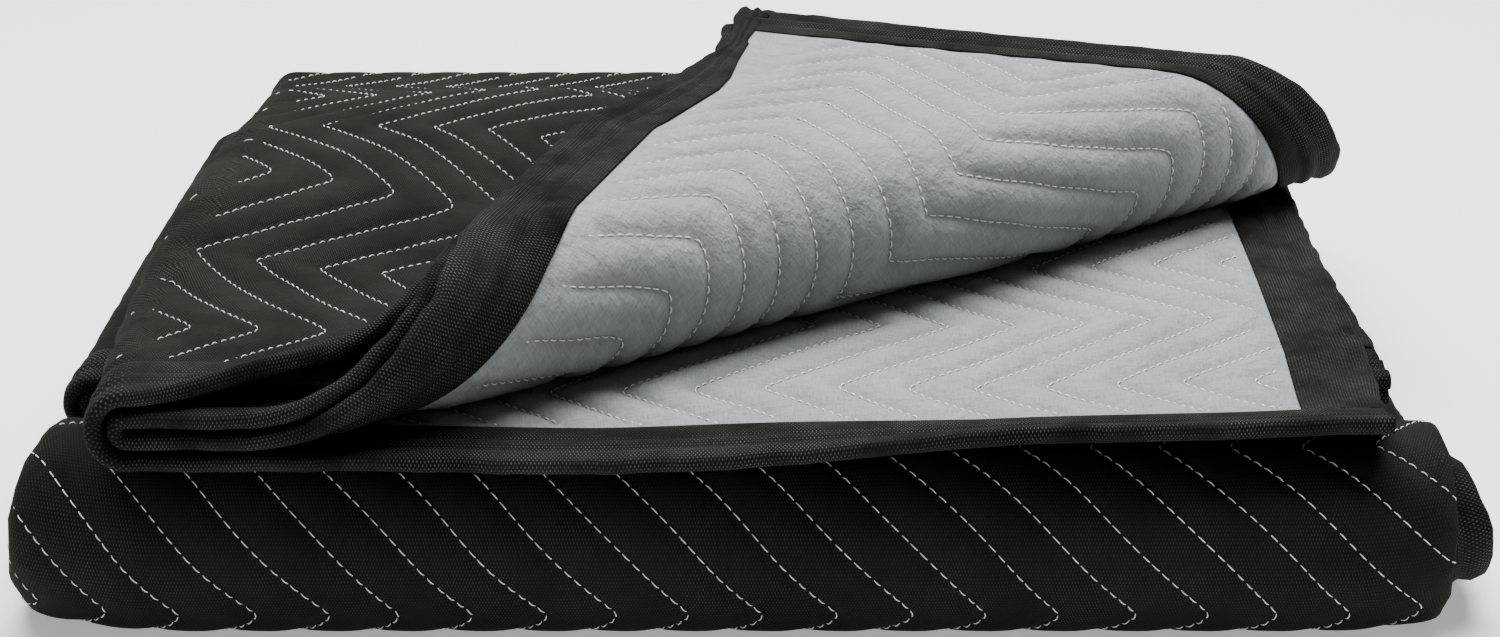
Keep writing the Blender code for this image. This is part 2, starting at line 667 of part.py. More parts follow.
class TapeSide:
    """The part of one face that a tape covers, with its outer and inner surfaces."""

    def __init__(self, face, edge, points, faces):
        axis, far = EDGES[edge]
        triangles = np.array(face.triangles)
        centre = face.uv[triangles].mean(axis=1)
        limit = (PAD_U, PAD_V)[axis]
        distance = limit - centre[:, axis] if far else centre[:, axis]
        chosen = distance < TAPE_LEG
        if axis == 0:
            chosen &= (centre[:, 1] > CORNER_ROW) & (centre[:, 1] < PAD_V - CORNER_ROW)
        triangles = triangles[chosen]
        used = np.unique(triangles)
        uv = face.uv[used]
        new_index = {old: new for new, old in enumerate(used)}
        triangles = [tuple(new_index[i] for i in tri) for tri in triangles]
        away = limit - uv[:, axis] if far else uv[:, axis]
        rim = [i for i in np.argsort(uv[:, 1 - axis]) if away[i] < ON_LINE]
        place_in_rim = {i: n for n, i in enumerate(rim)}
        self.layers = []
        for over_face, reach in ((TAPE_GAP + TAPE_THICK, RIM_GAP + TAPE_THICK), (TAPE_GAP, RIM_GAP)):
            w = np.full(len(uv), face.side * (EDGE_HALF + over_face))
            base = len(points)
            points.extend(fold(uv[:, 0], uv[:, 1], w))
            over = uv[rim].copy()
            over[:, axis] += reach if far else -reach
            fringe = len(points)
            points.extend(fold(over[:, 0], over[:, 1], w[rim]))
            faces.extend(tuple(base + i for i in tri) for tri in triangles)
            self.layers.append((base, fringe))
        directed = {(tri[k], tri[(k + 1) % 3]) for tri in triangles for k in range(3)}
        (out, out_fringe), (within, in_fringe) = self.layers
        for first, second in directed:
            if (second, first) in directed:
                continue
            if first in place_in_rim and second in place_in_rim:
                m, n = place_in_rim[first], place_in_rim[second]
                faces.append((out + first, out + second, out_fringe + n, out_fringe + m))
                faces.append((within + first, within + second, in_fringe + n, in_fringe + m))
            else:
                faces.append((out + first, out + second, within + second, within + first))
        for n in (0, len(rim) - 1):
            faces.append((out + rim[n], out_fringe + n, in_fringe + n, within + rim[n]))
        self.rim_count = len(rim)


def make_binding(name, black, grey, edge, material):
    """Tape folded over one edge of the pad, as one closed solid."""
    points = []
    faces = []
    upper = TapeSide(black, edge, points, faces)
    lower = TapeSide(grey, edge, points, faces)
    fringes = [(upper.layers[k][1], lower.layers[k][1]) for k in (0, 1)]
    falling = edge in ("end", "low")
    for top, bottom in fringes:
        for n in range(upper.rim_count - 1):
            a, b = (n + 1, n) if falling else (n, n + 1)
            faces.append((top + a, bottom + a, bottom + b))
            faces.append((top + a, bottom + b, top + b))
    (top_out, low_out), (top_in, low_in) = fringes
    for n in (0, upper.rim_count - 1):
        faces.append((top_out + n, low_out + n, low_in + n, top_in + n))
    made = make_object(name, points, faces, [0] * len(faces), [material])
    mesh = bmesh.new()
    mesh.from_mesh(made.data)
    bmesh.ops.triangulate(mesh, faces=mesh.faces)
    bmesh.ops.recalc_face_normals(mesh, faces=mesh.faces)
    mesh.to_mesh(made.data)
    mesh.free()
    made.data.shade_smooth()
    made.data.set_sharp_from_angle(angle=SHARP)
    return made


# ---------------------------------------------------------------- materials
def make_material(name, colour, roughness):
    material = bpy.data.materials.new(name)
    material.use_nodes = True
    shader = material.node_tree.nodes["Principled BSDF"]
    shader.inputs["Base Color"].default_value = (*colour, 1.0)
    shader.inputs["Roughness"].default_value = roughness
    shader.inputs["Metallic"].default_value = 0.0
    material.diffuse_color = (*colour, 1.0)
    return material


def main():
    for item in list(bpy.data.objects):
        bpy.data.objects.remove(item, do_unlink=True)
    black_cloth = make_material("black_cloth", (0.026, 0.026, 0.023), 0.85)
    grey_cloth = make_material("grey_cloth", (0.39, 0.43, 0.46), 0.85)
    tape = make_material("black_tape", (0.022, 0.022, 0.021), 0.75)
    black = FlatFace(1)
    grey = FlatFace(-1)
    make_cloth(black, grey, [black_cloth, grey_cloth])
    make_binding("binding_front", black, grey, "front", tape)
    make_binding("binding_end", black, grey, "end", tape)
    make_binding("binding_side_low", black, grey, "low", tape)
    make_binding("binding_side_flap", black, grey, "flap", tape)


main()
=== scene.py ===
"""The folded moving pad: quilted cloth, its bound edges, its stitching, the floor and the camera.

A point of the pad is named as in the part: u from the right-hand 72 inch edge, v from the front
80 inch edge and w over the middle of the cloth towards the black face. fold() carries it into
the stack. The cloth, the tape and every stitch go through the same fold.
"""

import math
from collections import namedtuple

import bmesh
import bpy
import numpy as np
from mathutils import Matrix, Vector
from mathutils.geometry import delaunay_2d_cdt


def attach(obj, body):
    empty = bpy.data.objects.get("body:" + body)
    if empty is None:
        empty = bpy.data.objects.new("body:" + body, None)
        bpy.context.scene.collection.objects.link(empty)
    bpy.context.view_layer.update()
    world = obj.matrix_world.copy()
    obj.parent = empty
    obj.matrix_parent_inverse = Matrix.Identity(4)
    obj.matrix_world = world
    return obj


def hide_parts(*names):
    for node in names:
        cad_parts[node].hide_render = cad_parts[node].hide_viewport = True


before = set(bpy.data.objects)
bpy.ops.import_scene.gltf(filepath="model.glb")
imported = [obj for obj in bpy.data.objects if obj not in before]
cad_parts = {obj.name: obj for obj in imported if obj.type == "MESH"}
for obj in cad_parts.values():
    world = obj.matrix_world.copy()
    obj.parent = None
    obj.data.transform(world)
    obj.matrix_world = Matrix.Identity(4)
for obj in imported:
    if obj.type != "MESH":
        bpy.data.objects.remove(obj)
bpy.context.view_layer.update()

# ---------------------------------------------------------------- sizes and places
# These are the part's own, apart from a few rows of TURNS, SIDES and DRIFT, which place the
# front fold's seams and the free edges more closely.
PAD_U = 2.032            # 80 inches, across the strip
PAD_V = 1.829            # 72 inches, along the strip
HALF_THICK = 0.0023      # half of the quilted cloth
PITCH = 0.0057           # from one layer to the next
TAPE_LEG = 0.032         # how far the tape reaches in from the edge
TAPE_THICK = 0.0007
TAPE_GAP = 0.0003        # clearance between tape and cloth
EDGE_HALF = 0.0015       # half of the cloth where the tape clamps it
EDGE_RAMP = 0.0045       # the cloth swells to its full thickness past the tape
STITCH_PITCH = 0.0254    # between neighbouring zigzag seams, along u
ZIG_REACH = 0.071        # how far a seam swings along u
Turn = namedtuple("Turn", "v count stray")
TURNS = (                # how often a seam has turned by v, and how far it has strayed along u
    Turn(0.0, 0.0, 0.0),
    Turn(0.43, 6.14, 0.0),
    Turn(0.995, 15.0, -0.0105),
    Turn(1.043, 16.0, -0.0105),
    Turn(PAD_V, 27.1, -0.0105),
)

OUTER_LOOP = 1.5 * PITCH          # radius of the left loop from the lowest layer to the top one
INNER_LOOP = 0.5 * PITCH          # and of the loops between neighbouring layers
LENGTH_LOW = 0.487       # lowest layer, grey face up
LENGTH_TOP = 0.490       # top layer, black face up
LENGTH_THIRD = 0.487     # the layer under the top one
LOW_END = LENGTH_LOW
TOP_START = LOW_END + math.pi * OUTER_LOOP
TOP_END = TOP_START + LENGTH_TOP
THIRD_START = TOP_END + math.pi * INNER_LOOP
THIRD_END = THIRD_START + LENGTH_THIRD
FLAP_START = THIRD_END + math.pi * INNER_LOOP

Station = namedtuple("Station", "v left low_edge fold flap_edge")
SIDES = (                # x of the left loops, the low layer's edge, the right fold, the flap's edge
    Station(0.00, -0.2225, 0.2180, 0.2400, 0.2480),
    Station(0.10, -0.2270, 0.2240, 0.2400, 0.2460),
    Station(0.25, -0.2215, 0.2260, 0.2450, 0.2450),
    Station(0.35, -0.2150, 0.2280, 0.2440, 0.2468),
    Station(0.44, -0.2190, 0.2300, 0.2370, 0.2445),
    Station(0.504, -0.2225, 0.2340, 0.2360, 0.2400),
    Station(0.62, -0.2540, 0.2460, 0.2380, 0.2440),
    Station(0.95, -0.2605, 0.2590, 0.2400, 0.2600),
    Station(1.01, -0.2580, 0.2540, 0.2430, 0.2570),
    Station(1.05, -0.2500, 0.2450, 0.2420, 0.2450),
    Station(1.12, -0.2500, 0.2480, 0.2450, 0.2490),
    Station(1.45, -0.2450, 0.2370, 0.2340, 0.2390),
    Station(1.65, -0.2490, 0.2285, 0.2310, 0.2320),
    Station(1.83, -0.2505, 0.2335, 0.2325, 0.2330),
)
Drift = namedtuple("Drift", "x back")
DRIFT = (                # how far the top section's front edge lies back, at x
    Drift(-0.23, 0.0), Drift(-0.05, 0.0), Drift(0.08, 0.010),
    Drift(0.15, 0.034), Drift(0.20, 0.044), Drift(0.25, 0.038),
)
LOW_DRIFT = 0.3          # share of the drift that the lowest layer takes
LEFT_LOFT = 0.006        # the top section's loops stand looser at the left
LOFT_SPAN = 0.20         # from the middle to the left
LOFT_FADE = 0.10         # and this dies out over this much of the section's far end
RIDGE_HIGH = 0.018       # the top layer stands up in a ridge beside the roll
RIDGE_FROM = 0.125       # from this far before the roll's line
RIDGE_OVER = 0.085       # to its full height over this much
RIDGE_FALL = 0.007       # it falls again by this
RIDGE_PAST = 0.235       # from this far before the roll's line
RIDGE_DOWN = 0.090       # over this much
RIDGE_RIGHT = -0.10      # it dies out to the right of this x
RIDGE_WIDE = 0.15        # over this much
RIDGE_FADE = 0.12        # and over this much of the section's far end
LEFT_X = -0.22           # where the left loops take their width from
FRONT_CURL = 0.009       # the low layer's front edge curls up at the right
CURL_REACH = 0.055       # in from the front
CURL_FROM = -0.02        # from this x
CURL_OVER = 0.12         # to full height over this much

ROLL_ANGLE = math.radians(39.5)   # the roll's direction, from +X towards +Y
ROLL_AT = (-0.103, -0.0137)       # a point under its outermost line
ROLL_RADIUS = 0.0292              # to the middle of the outermost layer
ROLL_TURN = math.radians(176.0)
ROLL_SLIP = 0.35         # how freely the three layers slide in it
INNER_WIDE = 0.022       # the innermost layer lifts off earlier near the front
INNER_TIGHT = 0.0070     # and creases with this radius
CREASE_FROM = 0.06       # the crease opens out from here along the roll
CREASE_OVER = 0.16       # over this much
CREASE_REACH = 0.15      # how far the crease leans past the roll's line
JOIN_X = 0.10            # the upper two layers ease into their closed fold from here
JOIN_OVER = 0.10         # over this much

FRONT_Y = -0.030         # the top section's front edge
TOP_SECTION = 0.450      # its length
BACK_HEIGHT = 0.0800     # the strip's middle in the top section
BASE_SECTION = 0.415
BASE_HEIGHT = 1.5 * PITCH + HALF_THICK
FRONT_BEND = 0.0230      # the puffy front fold's radius
SETTLE = 0.072           # the third section sinks onto the base over this much
INNER_BACK = 0.010       # and turns this much short of the back
SLAB = 4 * PITCH
ORIGIN_Y = 0.2180        # brings the middle of the footprint to the origin
CORNER_ROW = TAPE_LEG + 0.001     # the side tapes meet the two long tapes this far in
NORMAL_STEP = 2e-4       # the cloth's normal is taken over this much either way

# ---------------------------------------------------------------- looks
SEAM_DEEP = 0.0013       # a seam pulls an outer face in
PUFF_HIGH = 0.0012       # the cloth between two seams stands proud
PUFF_ROUND = 2.4         # how steeply it rises from a seam
HIDDEN_DEEP = 0.0005     # the same two between layers
HIDDEN_HIGH = 0.0001
Calm = namedtuple("Calm", "v share")
CALMS = (                # the quilting stands out less at the far rim and on the front fold
    Calm(0.29, 1.0), Calm(0.35, 0.35), Calm(0.48, 0.35),
    Calm(0.60, 1.0), Calm(0.90, 1.0), Calm(0.97, 0.45),
)
LOW_EASE = 0.90          # the low layer's cloth is drawn in, so its seams lie wider on it
LOW_SHIFT = 0.0065
ROUND_BACK = 0.022       # the puffy front fold's two ends fall back by this
ROUND_FROM = 0.195       # from this far out
ROUND_OVER = 0.066       # over this much
ROUND_MOST = 1.2         # and no further out than this many times as much
ROUND_FADE = 0.30        # it dies out along the strip over this much, before and past the fold
BILLOW = 0.0016          # the top section lies unevenly
END_LIFT = 0.006         # the flap's right-hand end stands higher than the rest
END_FROM = 0.405         # from here along the roll
END_OVER = 0.07          # over this much
END_TURN = 0.4 * math.pi          # and over this much of the roll's turn
SEAM_SHADE = 0.45        # how far from a seam the painted shade reaches, of half a seam's pitch
TURN_SOFT = 0.045        # how round a seam's turns are, as a share of its swing
WOBBLE = 0.0009          # how far a seam strays
GREY_SEEN = 0.42         # the light faces are seen up to this v
BLACK_SEEN = 0.07        # and the black ones up to this far past the front fold

Wave = namedtuple("Wave", "size across along phase")      # rates across and along the strip
BILLOWS = (Wave(1.0, 31.0, 9.0, 0.4), Wave(0.6, 57.0, -21.0, 2.0))
WOBBLES = (Wave(1.0, 23.0, 41.0, 0.0), Wave(0.6, -61.0, 97.0, 1.3), Wave(0.35, 83.0, 211.0, 2.1))


def smooth(value):
    """Ease from 0 to 1 as the value goes from 0 to 1."""
    value = np.clip(value, 0.0, 1.0)
    return value * value * (3.0 - 2.0 * value)


def ripple(waves, x, v=0.0):
    """A few waves laid over each other."""
    return sum(wave.size * np.sin(wave.across * x + wave.along * v + wave.phase) for wave in waves)


def read_off(table, at, column):
    """A column of a table, read at places between its rows; the first column holds the places."""
    return np.interp(at, [row[0] for row in table], [getattr(row, column) for row in table])


# ---------------------------------------------------------------- the fold
Bend = namedtuple("Bend", "name length turn")


def strip_bends():
    """The strip's middle line seen from the right: sections and the bends between them."""
    back_radius = (BACK_HEIGHT - BASE_HEIGHT) / 2
    over_front = BASE_HEIGHT + 2 * FRONT_BEND
    on_base = BASE_HEIGHT + SLAB
    sway = 2 * math.atan2(over_front - on_base, SETTLE)
    sway_radius = SETTLE / (2 * math.sin(sway))
    bends = [
        Bend("top", TOP_SECTION, 0.0),
        Bend("outer_back", math.pi * back_radius, -math.pi),
        Bend("base", BASE_SECTION, 0.0),
        Bend("front", math.pi * FRONT_BEND, -math.pi),
        Bend("sink", sway * sway_radius, -sway),
        Bend("level", sway * sway_radius, sway),
        Bend("third", BASE_SECTION - INNER_BACK - SETTLE, 0.0),
        Bend("inner_back", math.pi * SLAB / 2, math.pi),
    ]
    used = sum(bend.length for bend in bends)
    bends.append(Bend("tucked_end", PAD_V - used, 0.0))
    return bends


def bend_starts():
    """The v at which each bend starts."""
    starts, at = {}, 0.0
    for bend in BENDS:
        starts[bend.name] = at
        at += bend.length
    return starts


BENDS = strip_bends()
BEND_START = bend_starts()


def strip_line(v):
    """Place and heading of the strip's middle line at v, in the Y-Z plane."""
    y = np.zeros_like(v)
    z = np.zeros_like(v)
    heading = np.zeros_like(v)
    at_y, at_z, angle = FRONT_Y, BACK_HEIGHT, 0.0
    for index, bend in enumerate(BENDS):
        start = BEND_START[bend.name]
        low = -np.inf if index == 0 else start
        high = np.inf if index == len(BENDS) - 1 else start + bend.length
        here = (v >= low) & (v < high)
        run = v[here] - start
        if bend.turn == 0.0:
            y[here] = at_y + run * math.cos(angle)
            z[here] = at_z + run * math.sin(angle)
            heading[here] = angle
            at_y += bend.length * math.cos(angle)
            at_z += bend.length * math.sin(angle)
        else:
            rate = bend.turn / bend.length
            now = angle + rate * run
            y[here] = at_y + (np.sin(now) - math.sin(angle)) / rate
            z[here] = at_z - (np.cos(now) - math.cos(angle)) / rate
            heading[here] = now
            at_y += (math.sin(angle + bend.turn) - math.sin(angle)) / rate
            at_z -= (math.cos(angle + bend.turn) - math.cos(angle)) / rate
            angle += bend.turn
    return y, z, heading


def top_rise(x, v):
    """How far the top layer stands above a close stack, in the top section."""
    before = -roll_frame(x, FRONT_Y + v)[0]
    loft = LEFT_LOFT * smooth(-x / LOFT_SPAN) * smooth((TOP_SECTION - v) / LOFT_FADE)
    ridge = RIDGE_HIGH * smooth((before - RIDGE_FROM) / RIDGE_OVER)
    ridge = ridge - RIDGE_FALL * smooth((before - RIDGE_PAST) / RIDGE_DOWN)
    ridge = ridge * (1.0 - smooth((x - RIDGE_RIGHT) / RIDGE_WIDE))
    return loft + ridge * smooth((TOP_SECTION - v) / RIDGE_FADE)


def left_ease(v):
    """How much wider the left loops are than a tight fold, at v."""
    return 1.0 + top_rise(LEFT_X, v) / (2 * OUTER_LOOP)


def side_places(v):
    """The centres of the left and right loops and the two free edges, at v."""
    left = read_off(SIDES, v, "left") + HALF_THICK + OUTER_LOOP * left_ease(v)
    right = read_off(SIDES, v, "fold") - HALF_THICK - INNER_LOOP
    return left, right, read_off(SIDES, v, "low_edge"), read_off(SIDES, v, "flap_edge")


def strip_section(u, v):
    """Across the strip: x, and the height over the strip's middle."""
    left, right, low_edge, flap_edge = side_places(v)
    ease = left_ease(v)

    def part(start, end):
        return (u - start) / (end - start)

    outer = math.pi * part(LOW_END, TOP_START)
    closed = math.pi * part(TOP_END, THIRD_START)
    inner = math.pi * part(THIRD_END, FLAP_START)
    pieces = (
        (u < LOW_END, low_edge + (left - low_edge) * part(0.0, LOW_END), -OUTER_LOOP),
        (u < TOP_START, left - ease * OUTER_LOOP * np.sin(outer), -OUTER_LOOP * np.cos(outer)),
        (u < TOP_END, left + (right - left) * part(TOP_START, TOP_END), OUTER_LOOP),
        (u < THIRD_START, right + INNER_LOOP * np.sin(closed), PITCH + INNER_LOOP * np.cos(closed)),
        (u < THIRD_END, right + (left - right) * part(THIRD_START, THIRD_END), INNER_LOOP),
        (u < FLAP_START, left - ease * INNER_LOOP * np.sin(inner), INNER_LOOP * np.cos(inner)),
    )
    x = left + (flap_edge - left) * part(FLAP_START, PAD_U)
    height = np.full_like(x, -INNER_LOOP)
    for inside, piece_x, piece_height in reversed(pieces):
        x = np.where(inside, piece_x, x)
        height = np.where(inside, piece_height, height)
    return x, height


def roll_frame(x, y):
    """Distance past the roll's outermost line, distance along it, and those two directions."""
    along = (math.cos(ROLL_ANGLE), math.sin(ROLL_ANGLE))
    past = (along[1], -along[0])
    dx = x - ROLL_AT[0]
    dy = y - ROLL_AT[1]
    return dx * past[0] + dy * past[1], dx * along[0] + dy * along[1], past, along


def roll_corner(u, v, x, y, z):
    """Roll the three upper layers of the top section back over the diagonal."""
    past_line, along_line, past, along = roll_frame(x, y)
    centre = BACK_HEIGHT - INNER_LOOP + ROLL_RADIUS
    radius = centre - z
    middle = ROLL_RADIUS - PITCH
    free = 1.0 - smooth((x - JOIN_X) / JOIN_OVER)
    arc = middle + ROLL_SLIP * (radius - middle)
    joined = middle - ROLL_SLIP * INNER_LOOP
    arc = np.where(u < THIRD_END, arc * free + joined * (1.0 - free), arc)

    crease = np.where(u < TOP_END, 1.0 - smooth((along_line - CREASE_FROM) / CREASE_OVER), 0.0)
    wide = INNER_WIDE * crease
    tight = radius + (INNER_TIGHT - radius) * crease
    rise = 2.0 * (radius - tight)
    reach = CREASE_REACH * (radius - tight)
    run = past_line + ROLL_RADIUS + HALF_THICK + wide
    total = wide + arc * ROLL_TURN
    slope = wide + reach
    path = np.clip(run / total, 0.0, 1.0) * (slope + ROLL_TURN * tight)
    climb = np.clip(path / np.maximum(slope, 1e-9), 0.0, 1.0)
    turn = np.clip((path - slope) / tight, 0.0, ROLL_TURN)
    rest = np.maximum(run - total, 0.0)
    on_slope = path < slope
    out = np.where(on_slope, slope * climb - wide, reach + tight * np.sin(turn))
    up = np.where(on_slope, z + rise * smooth(climb), z + rise + tight - tight * np.cos(turn))
    out = out + rest * math.cos(ROLL_TURN)
    up = up + rest * math.sin(ROLL_TURN)
    up = up + END_LIFT * smooth((along_line - END_FROM) / END_OVER) * smooth(turn / END_TURN)

    from_line = out - ROLL_RADIUS - HALF_THICK
    rolled = (u > TOP_START) & (v < TOP_SECTION) & (run > 0.0)
    new_x = ROLL_AT[0] + along[0] * along_line + past[0] * from_line
    new_y = ROLL_AT[1] + along[1] * along_line + past[1] * from_line
    return np.where(rolled, new_x, x), np.where(rolled, new_y, y), np.where(rolled, up, z)


def billow(x, v):
    """How unevenly the top section lies: the same for all its layers."""
    return BILLOW * (0.5 + 0.3 * ripple(BILLOWS, x, v)) * smooth((TOP_SECTION - v) / LOFT_FADE)


def ends_back(x, v):
    """How far the ends of the puffy front fold fall back."""
    out = np.clip((np.abs(x) - ROUND_FROM) / ROUND_OVER, 0.0, ROUND_MOST)
    before = smooth((v - BEND_START["front"] + ROUND_FADE) / ROUND_FADE)
    behind = smooth((BEND_START["sink"] + ROUND_FADE - v) / ROUND_FADE)
    return ROUND_BACK * out ** 2 * (before * behind)


def middle_surface(u, v):
    """The middle of the cloth, folded."""
    x, height = strip_section(u, v)
    y, z, heading = strip_line(v)
    y = y + ends_back(x, v)
    z = z + billow(x, v)
    in_top = v < TOP_SECTION
    rise = top_rise(x, v)
    height = np.where(in_top, height + rise * (height + OUTER_LOOP) / (2 * OUTER_LOOP), height)
    share = np.where(u < TOP_START, LOW_DRIFT, 1.0)
    back = share * read_off(DRIFT, x, "back")
    y = np.where(in_top, y + back * (1.0 - v / TOP_SECTION), y)
    near_front = np.clip(1.0 - v / CURL_REACH, 0.0, 1.0)
    curl = FRONT_CURL * smooth((x - CURL_FROM) / CURL_OVER) * near_front ** 2
    height = np.where(in_top & (u < LOW_END), height + curl, height)
    stack_y = y - np.sin(heading) * height
    stack_z = z + np.cos(heading) * height
    return roll_corner(u, v, x, stack_y, stack_z)


def middle_point(u, v):
    return np.stack(middle_surface(u, v), axis=-1)


def fold(u, v, w):
    """A point of the flat pad, carried into the folded stack, and the cloth's normal there."""
    u, v, w = np.broadcast_arrays(np.asarray(u, float), np.asarray(v, float), np.asarray(w, float))
    along_u = middle_point(u + NORMAL_STEP, v) - middle_point(u - NORMAL_STEP, v)
    along_v = middle_point(u, v + NORMAL_STEP) - middle_point(u, v - NORMAL_STEP)
    normal = np.cross(along_u, along_v)
    normal /= np.linalg.norm(normal, axis=-1, keepdims=True)
    place = middle_point(u, v) + normal * w[..., None]
    place[..., 1] -= ORIGIN_Y
    return place, normal


# ---------------------------------------------------------------- quilting
def wobble(u, v):
    """How far a seam strays from its zigzag."""
    return WOBBLE * ripple(WOBBLES, u, v)


def soften(swing):
    """Round off the turn where the swing is nought."""
    return np.sqrt(swing ** 2 + TURN_SOFT ** 2) - TURN_SOFT


def zigzag(v):
    """How far a seam has swung along u, at v, with soft turns."""
    turns = read_off(TURNS, v, "count")
    swing = soften(np.abs(2.0 * ((turns / 2) % 1.0) - 1.0))
    swing = soften(1.0 - swing)
    return ZIG_REACH * (1.0 - swing) + read_off(TURNS, v, "stray")


def seam_u(count, v, low=False):
    """Where seam number count crosses v, on the low layer or on the others."""
    straight = count * STITCH_PITCH - zigzag(v)
    if low:
        straight = (straight - LOW_SHIFT) / LOW_EASE
    return straight - wobble(straight, v)


def seam_phase(u, v):
    """How far a point lies from one seam to the next, from 0 to 1."""
    drawn = np.where(u < LOW_END, LOW_EASE * u + LOW_SHIFT, u)
    return ((drawn + zigzag(v) + wobble(u, v)) / STITCH_PITCH) % 1.0


def on_outside(u, v, side):
    """Whether the face is one of those that are seen: 1 outside, 0 between layers."""
    black = (u > LOW_END) & (u < THIRD_START) & (v < BEND_START["sink"] + BLACK_SEEN)
    grey = ((u < LOW_END) | (u > FLAP_START)) & (v < GREY_SEEN)
    return np.where(np.where(np.asarray(side) > 0, black, grey), 1.0, 0.0)


def face_height(u, v, side):
    """Half thickness of the cloth at a point of one face."""
    edge = np.minimum(np.minimum(u, PAD_U - u), np.minimum(v, PAD_V - v))
    swell = smooth((edge - TAPE_LEG) / EDGE_RAMP)
    phase = seam_phase(u, v)
    from_seam = np.minimum(phase, 1.0 - phase) * 2.0
    puff = 1.0 - (1.0 - from_seam) ** PUFF_ROUND
    outside = on_outside(u, v, side)
    if side > 0:
        outside = outside * read_off(CALMS, v, "share")
    deep = HIDDEN_DEEP + (SEAM_DEEP - HIDDEN_DEEP) * outside
    high = HIDDEN_HIGH + (PUFF_HIGH - HIDDEN_HIGH) * outside
    relief = -deep + (deep + high) * puff
    return EDGE_HALF + (HALF_THICK - EDGE_HALF + relief) * swell


# ---------------------------------------------------------------- the cloth's grid
FINE = 8                 # columns between two seams where the cloth is seen from close by
COARSE = 4
FINE_ROW = 1 / 16        # rows to a turn of the seams
FRONT_ROW = 1 / 18
COARSE_ROW = 1 / 11
HIDDEN = 0.018           # between points where the cloth lies between layers
STAGGER = 0.3            # every other row there is shifted by this share of a column
LOOP_ROW = 0.010         # between rows round the loops
MARGIN = 0.0012          # seams keep this far from the ends of their stretch
FRONT_LEAD = 0.012       # the fine rows start this far before the front fold
FRONT_TRAIL = 0.06       # and run on this far past it
RIM_STEP = 0.004         # between points along an 80 inch edge
RIM_CLOSE = 0.0006       # no closer than this
RIM_ROWS = 300           # along a 72 inch edge
UNDER_LONG = (0.006, 0.014, 0.023)    # rows under the tape of an 80 inch edge
UNDER_SIDE = (0.012,)                 # and of a 72 inch edge
SAME_POINT = 1e-4        # points closer than this are one
ON_EDGE = 1e-5           # and this close to an edge they lie on it
SLIVER = 2e-8            # the least area of a triangle, twice over
DIGITS = 5               # flat places are rounded to this many

Loop = namedtuple("Loop", "start end columns")
LOOPS = (Loop(LOW_END, TOP_START, 12), Loop(TOP_END, THIRD_START, 8), Loop(THIRD_END, FLAP_START, 8))


def flat_grid(u, v):
    """Flat points at every u and v of two lists."""
    grid_u, grid_v = np.meshgrid(u, v)
    return np.stack([grid_u.ravel(), grid_v.ravel()], -1)


def line_of_points(u, v):
    """Flat points along a line of one u or of one v."""
    return np.stack(np.broadcast_arrays(u, v), -1)


def spread(values, least):
    """Sorted values, without those closer than the least step to the one before."""
    return values[np.concatenate(([True], np.diff(values) > least))]


def seam_lattice(u_low, u_high, v_low, v_high, columns, row):
    """Points in rows of v, with columns that follow the seams, and the lines joining the rows."""
    points, lines = [], []
    before, total = {}, 0
    stations = [turn.v for turn in TURNS]
    counts = [turn.count for turn in TURNS]
    first = math.ceil(np.interp(v_low, stations, counts) / row)
    last = math.floor(np.interp(v_high, stations, counts) / row)
    low = u_high <= LOW_END
    for step in range(first, last + 1):
        v = float(np.interp(step * row, counts, stations))
        swing = float(zigzag(np.array(v)))
        start = math.floor((u_low * LOW_EASE + swing) / STITCH_PITCH * columns) - 1
        end = math.ceil((u_high + swing) / STITCH_PITCH * columns) + 1
        index = np.arange(start, end + 1)
        u = seam_u(index / columns, v, low)
        kept = (u > u_low + MARGIN) & (u < u_high - MARGIN)
        row_at = {int(column): total + i for i, column in enumerate(index[kept])}
        lines += [(before[column], at) for column, at in row_at.items() if column in before]
        before = row_at
        total += len(row_at)
        points.append(line_of_points(u[kept], v))
    return np.vstack(points), lines


def plain_lattice(u_low, u_high, v_low, v_high):
    """Points far apart, for cloth that lies between layers."""
    columns = max(2, int((u_high - u_low) / HIDDEN))
    rows = max(2, int((v_high - v_low) / HIDDEN))
    u = np.linspace(u_low, u_high, columns + 1)[1:-1]
    v = np.linspace(v_low, v_high, rows + 1)
    points = flat_grid(u, v).reshape(len(v), len(u), 2)
    points[1::2, :, 0] += STAGGER * (u_high - u_low) / columns
    return points.reshape(-1, 2)


def loop_lattice(loop):
    """Points round one loop, in columns along its bend."""
    u = np.linspace(loop.start, loop.end, loop.columns + 1)
    v = np.arange(TAPE_LEG + EDGE_RAMP, PAD_V - TAPE_LEG - EDGE_RAMP, LOOP_ROW)
    return flat_grid(u, v)


def rim_list():
    """The places of the points along the edges, alike for both faces."""
    across = [np.arange(0.0, PAD_U, RIM_STEP)]
    across += [np.linspace(loop.start, loop.end, loop.columns + 1) for loop in LOOPS]
    u = spread(np.unique(np.round(np.concatenate(across + [[PAD_U]]), DIGITS)), RIM_CLOSE)
    u[-1] = PAD_U
    return u, np.linspace(0.0, PAD_V, RIM_ROWS)


RIM_U, RIM_V = rim_list()


def edge_points():
    """Points along the four edges and in rows under the tape."""
    ramp = (TAPE_LEG, TAPE_LEG + EDGE_RAMP * 0.5)
    inner_u = RIM_U[(RIM_U > RIM_STEP) & (RIM_U < PAD_U - RIM_STEP)]
    inner_v = RIM_V[1:-1]
    points = [line_of_points(RIM_U, v) for v in (0.0, PAD_V)]
    for inset in UNDER_LONG + ramp:
        u = inner_u[(inner_u > inset) & (inner_u < PAD_U - inset)]
        points += [line_of_points(u, v) for v in (inset, PAD_V - inset)]
    points += [line_of_points(u, inner_v) for u in (0.0, PAD_U)]
    for inset in UNDER_SIDE + ramp:
        v = inner_v[(inner_v > inset) & (inner_v < PAD_V - inset)]
        points += [line_of_points(u, v) for u in (inset, PAD_U - inset)]
    return np.vstack(points)


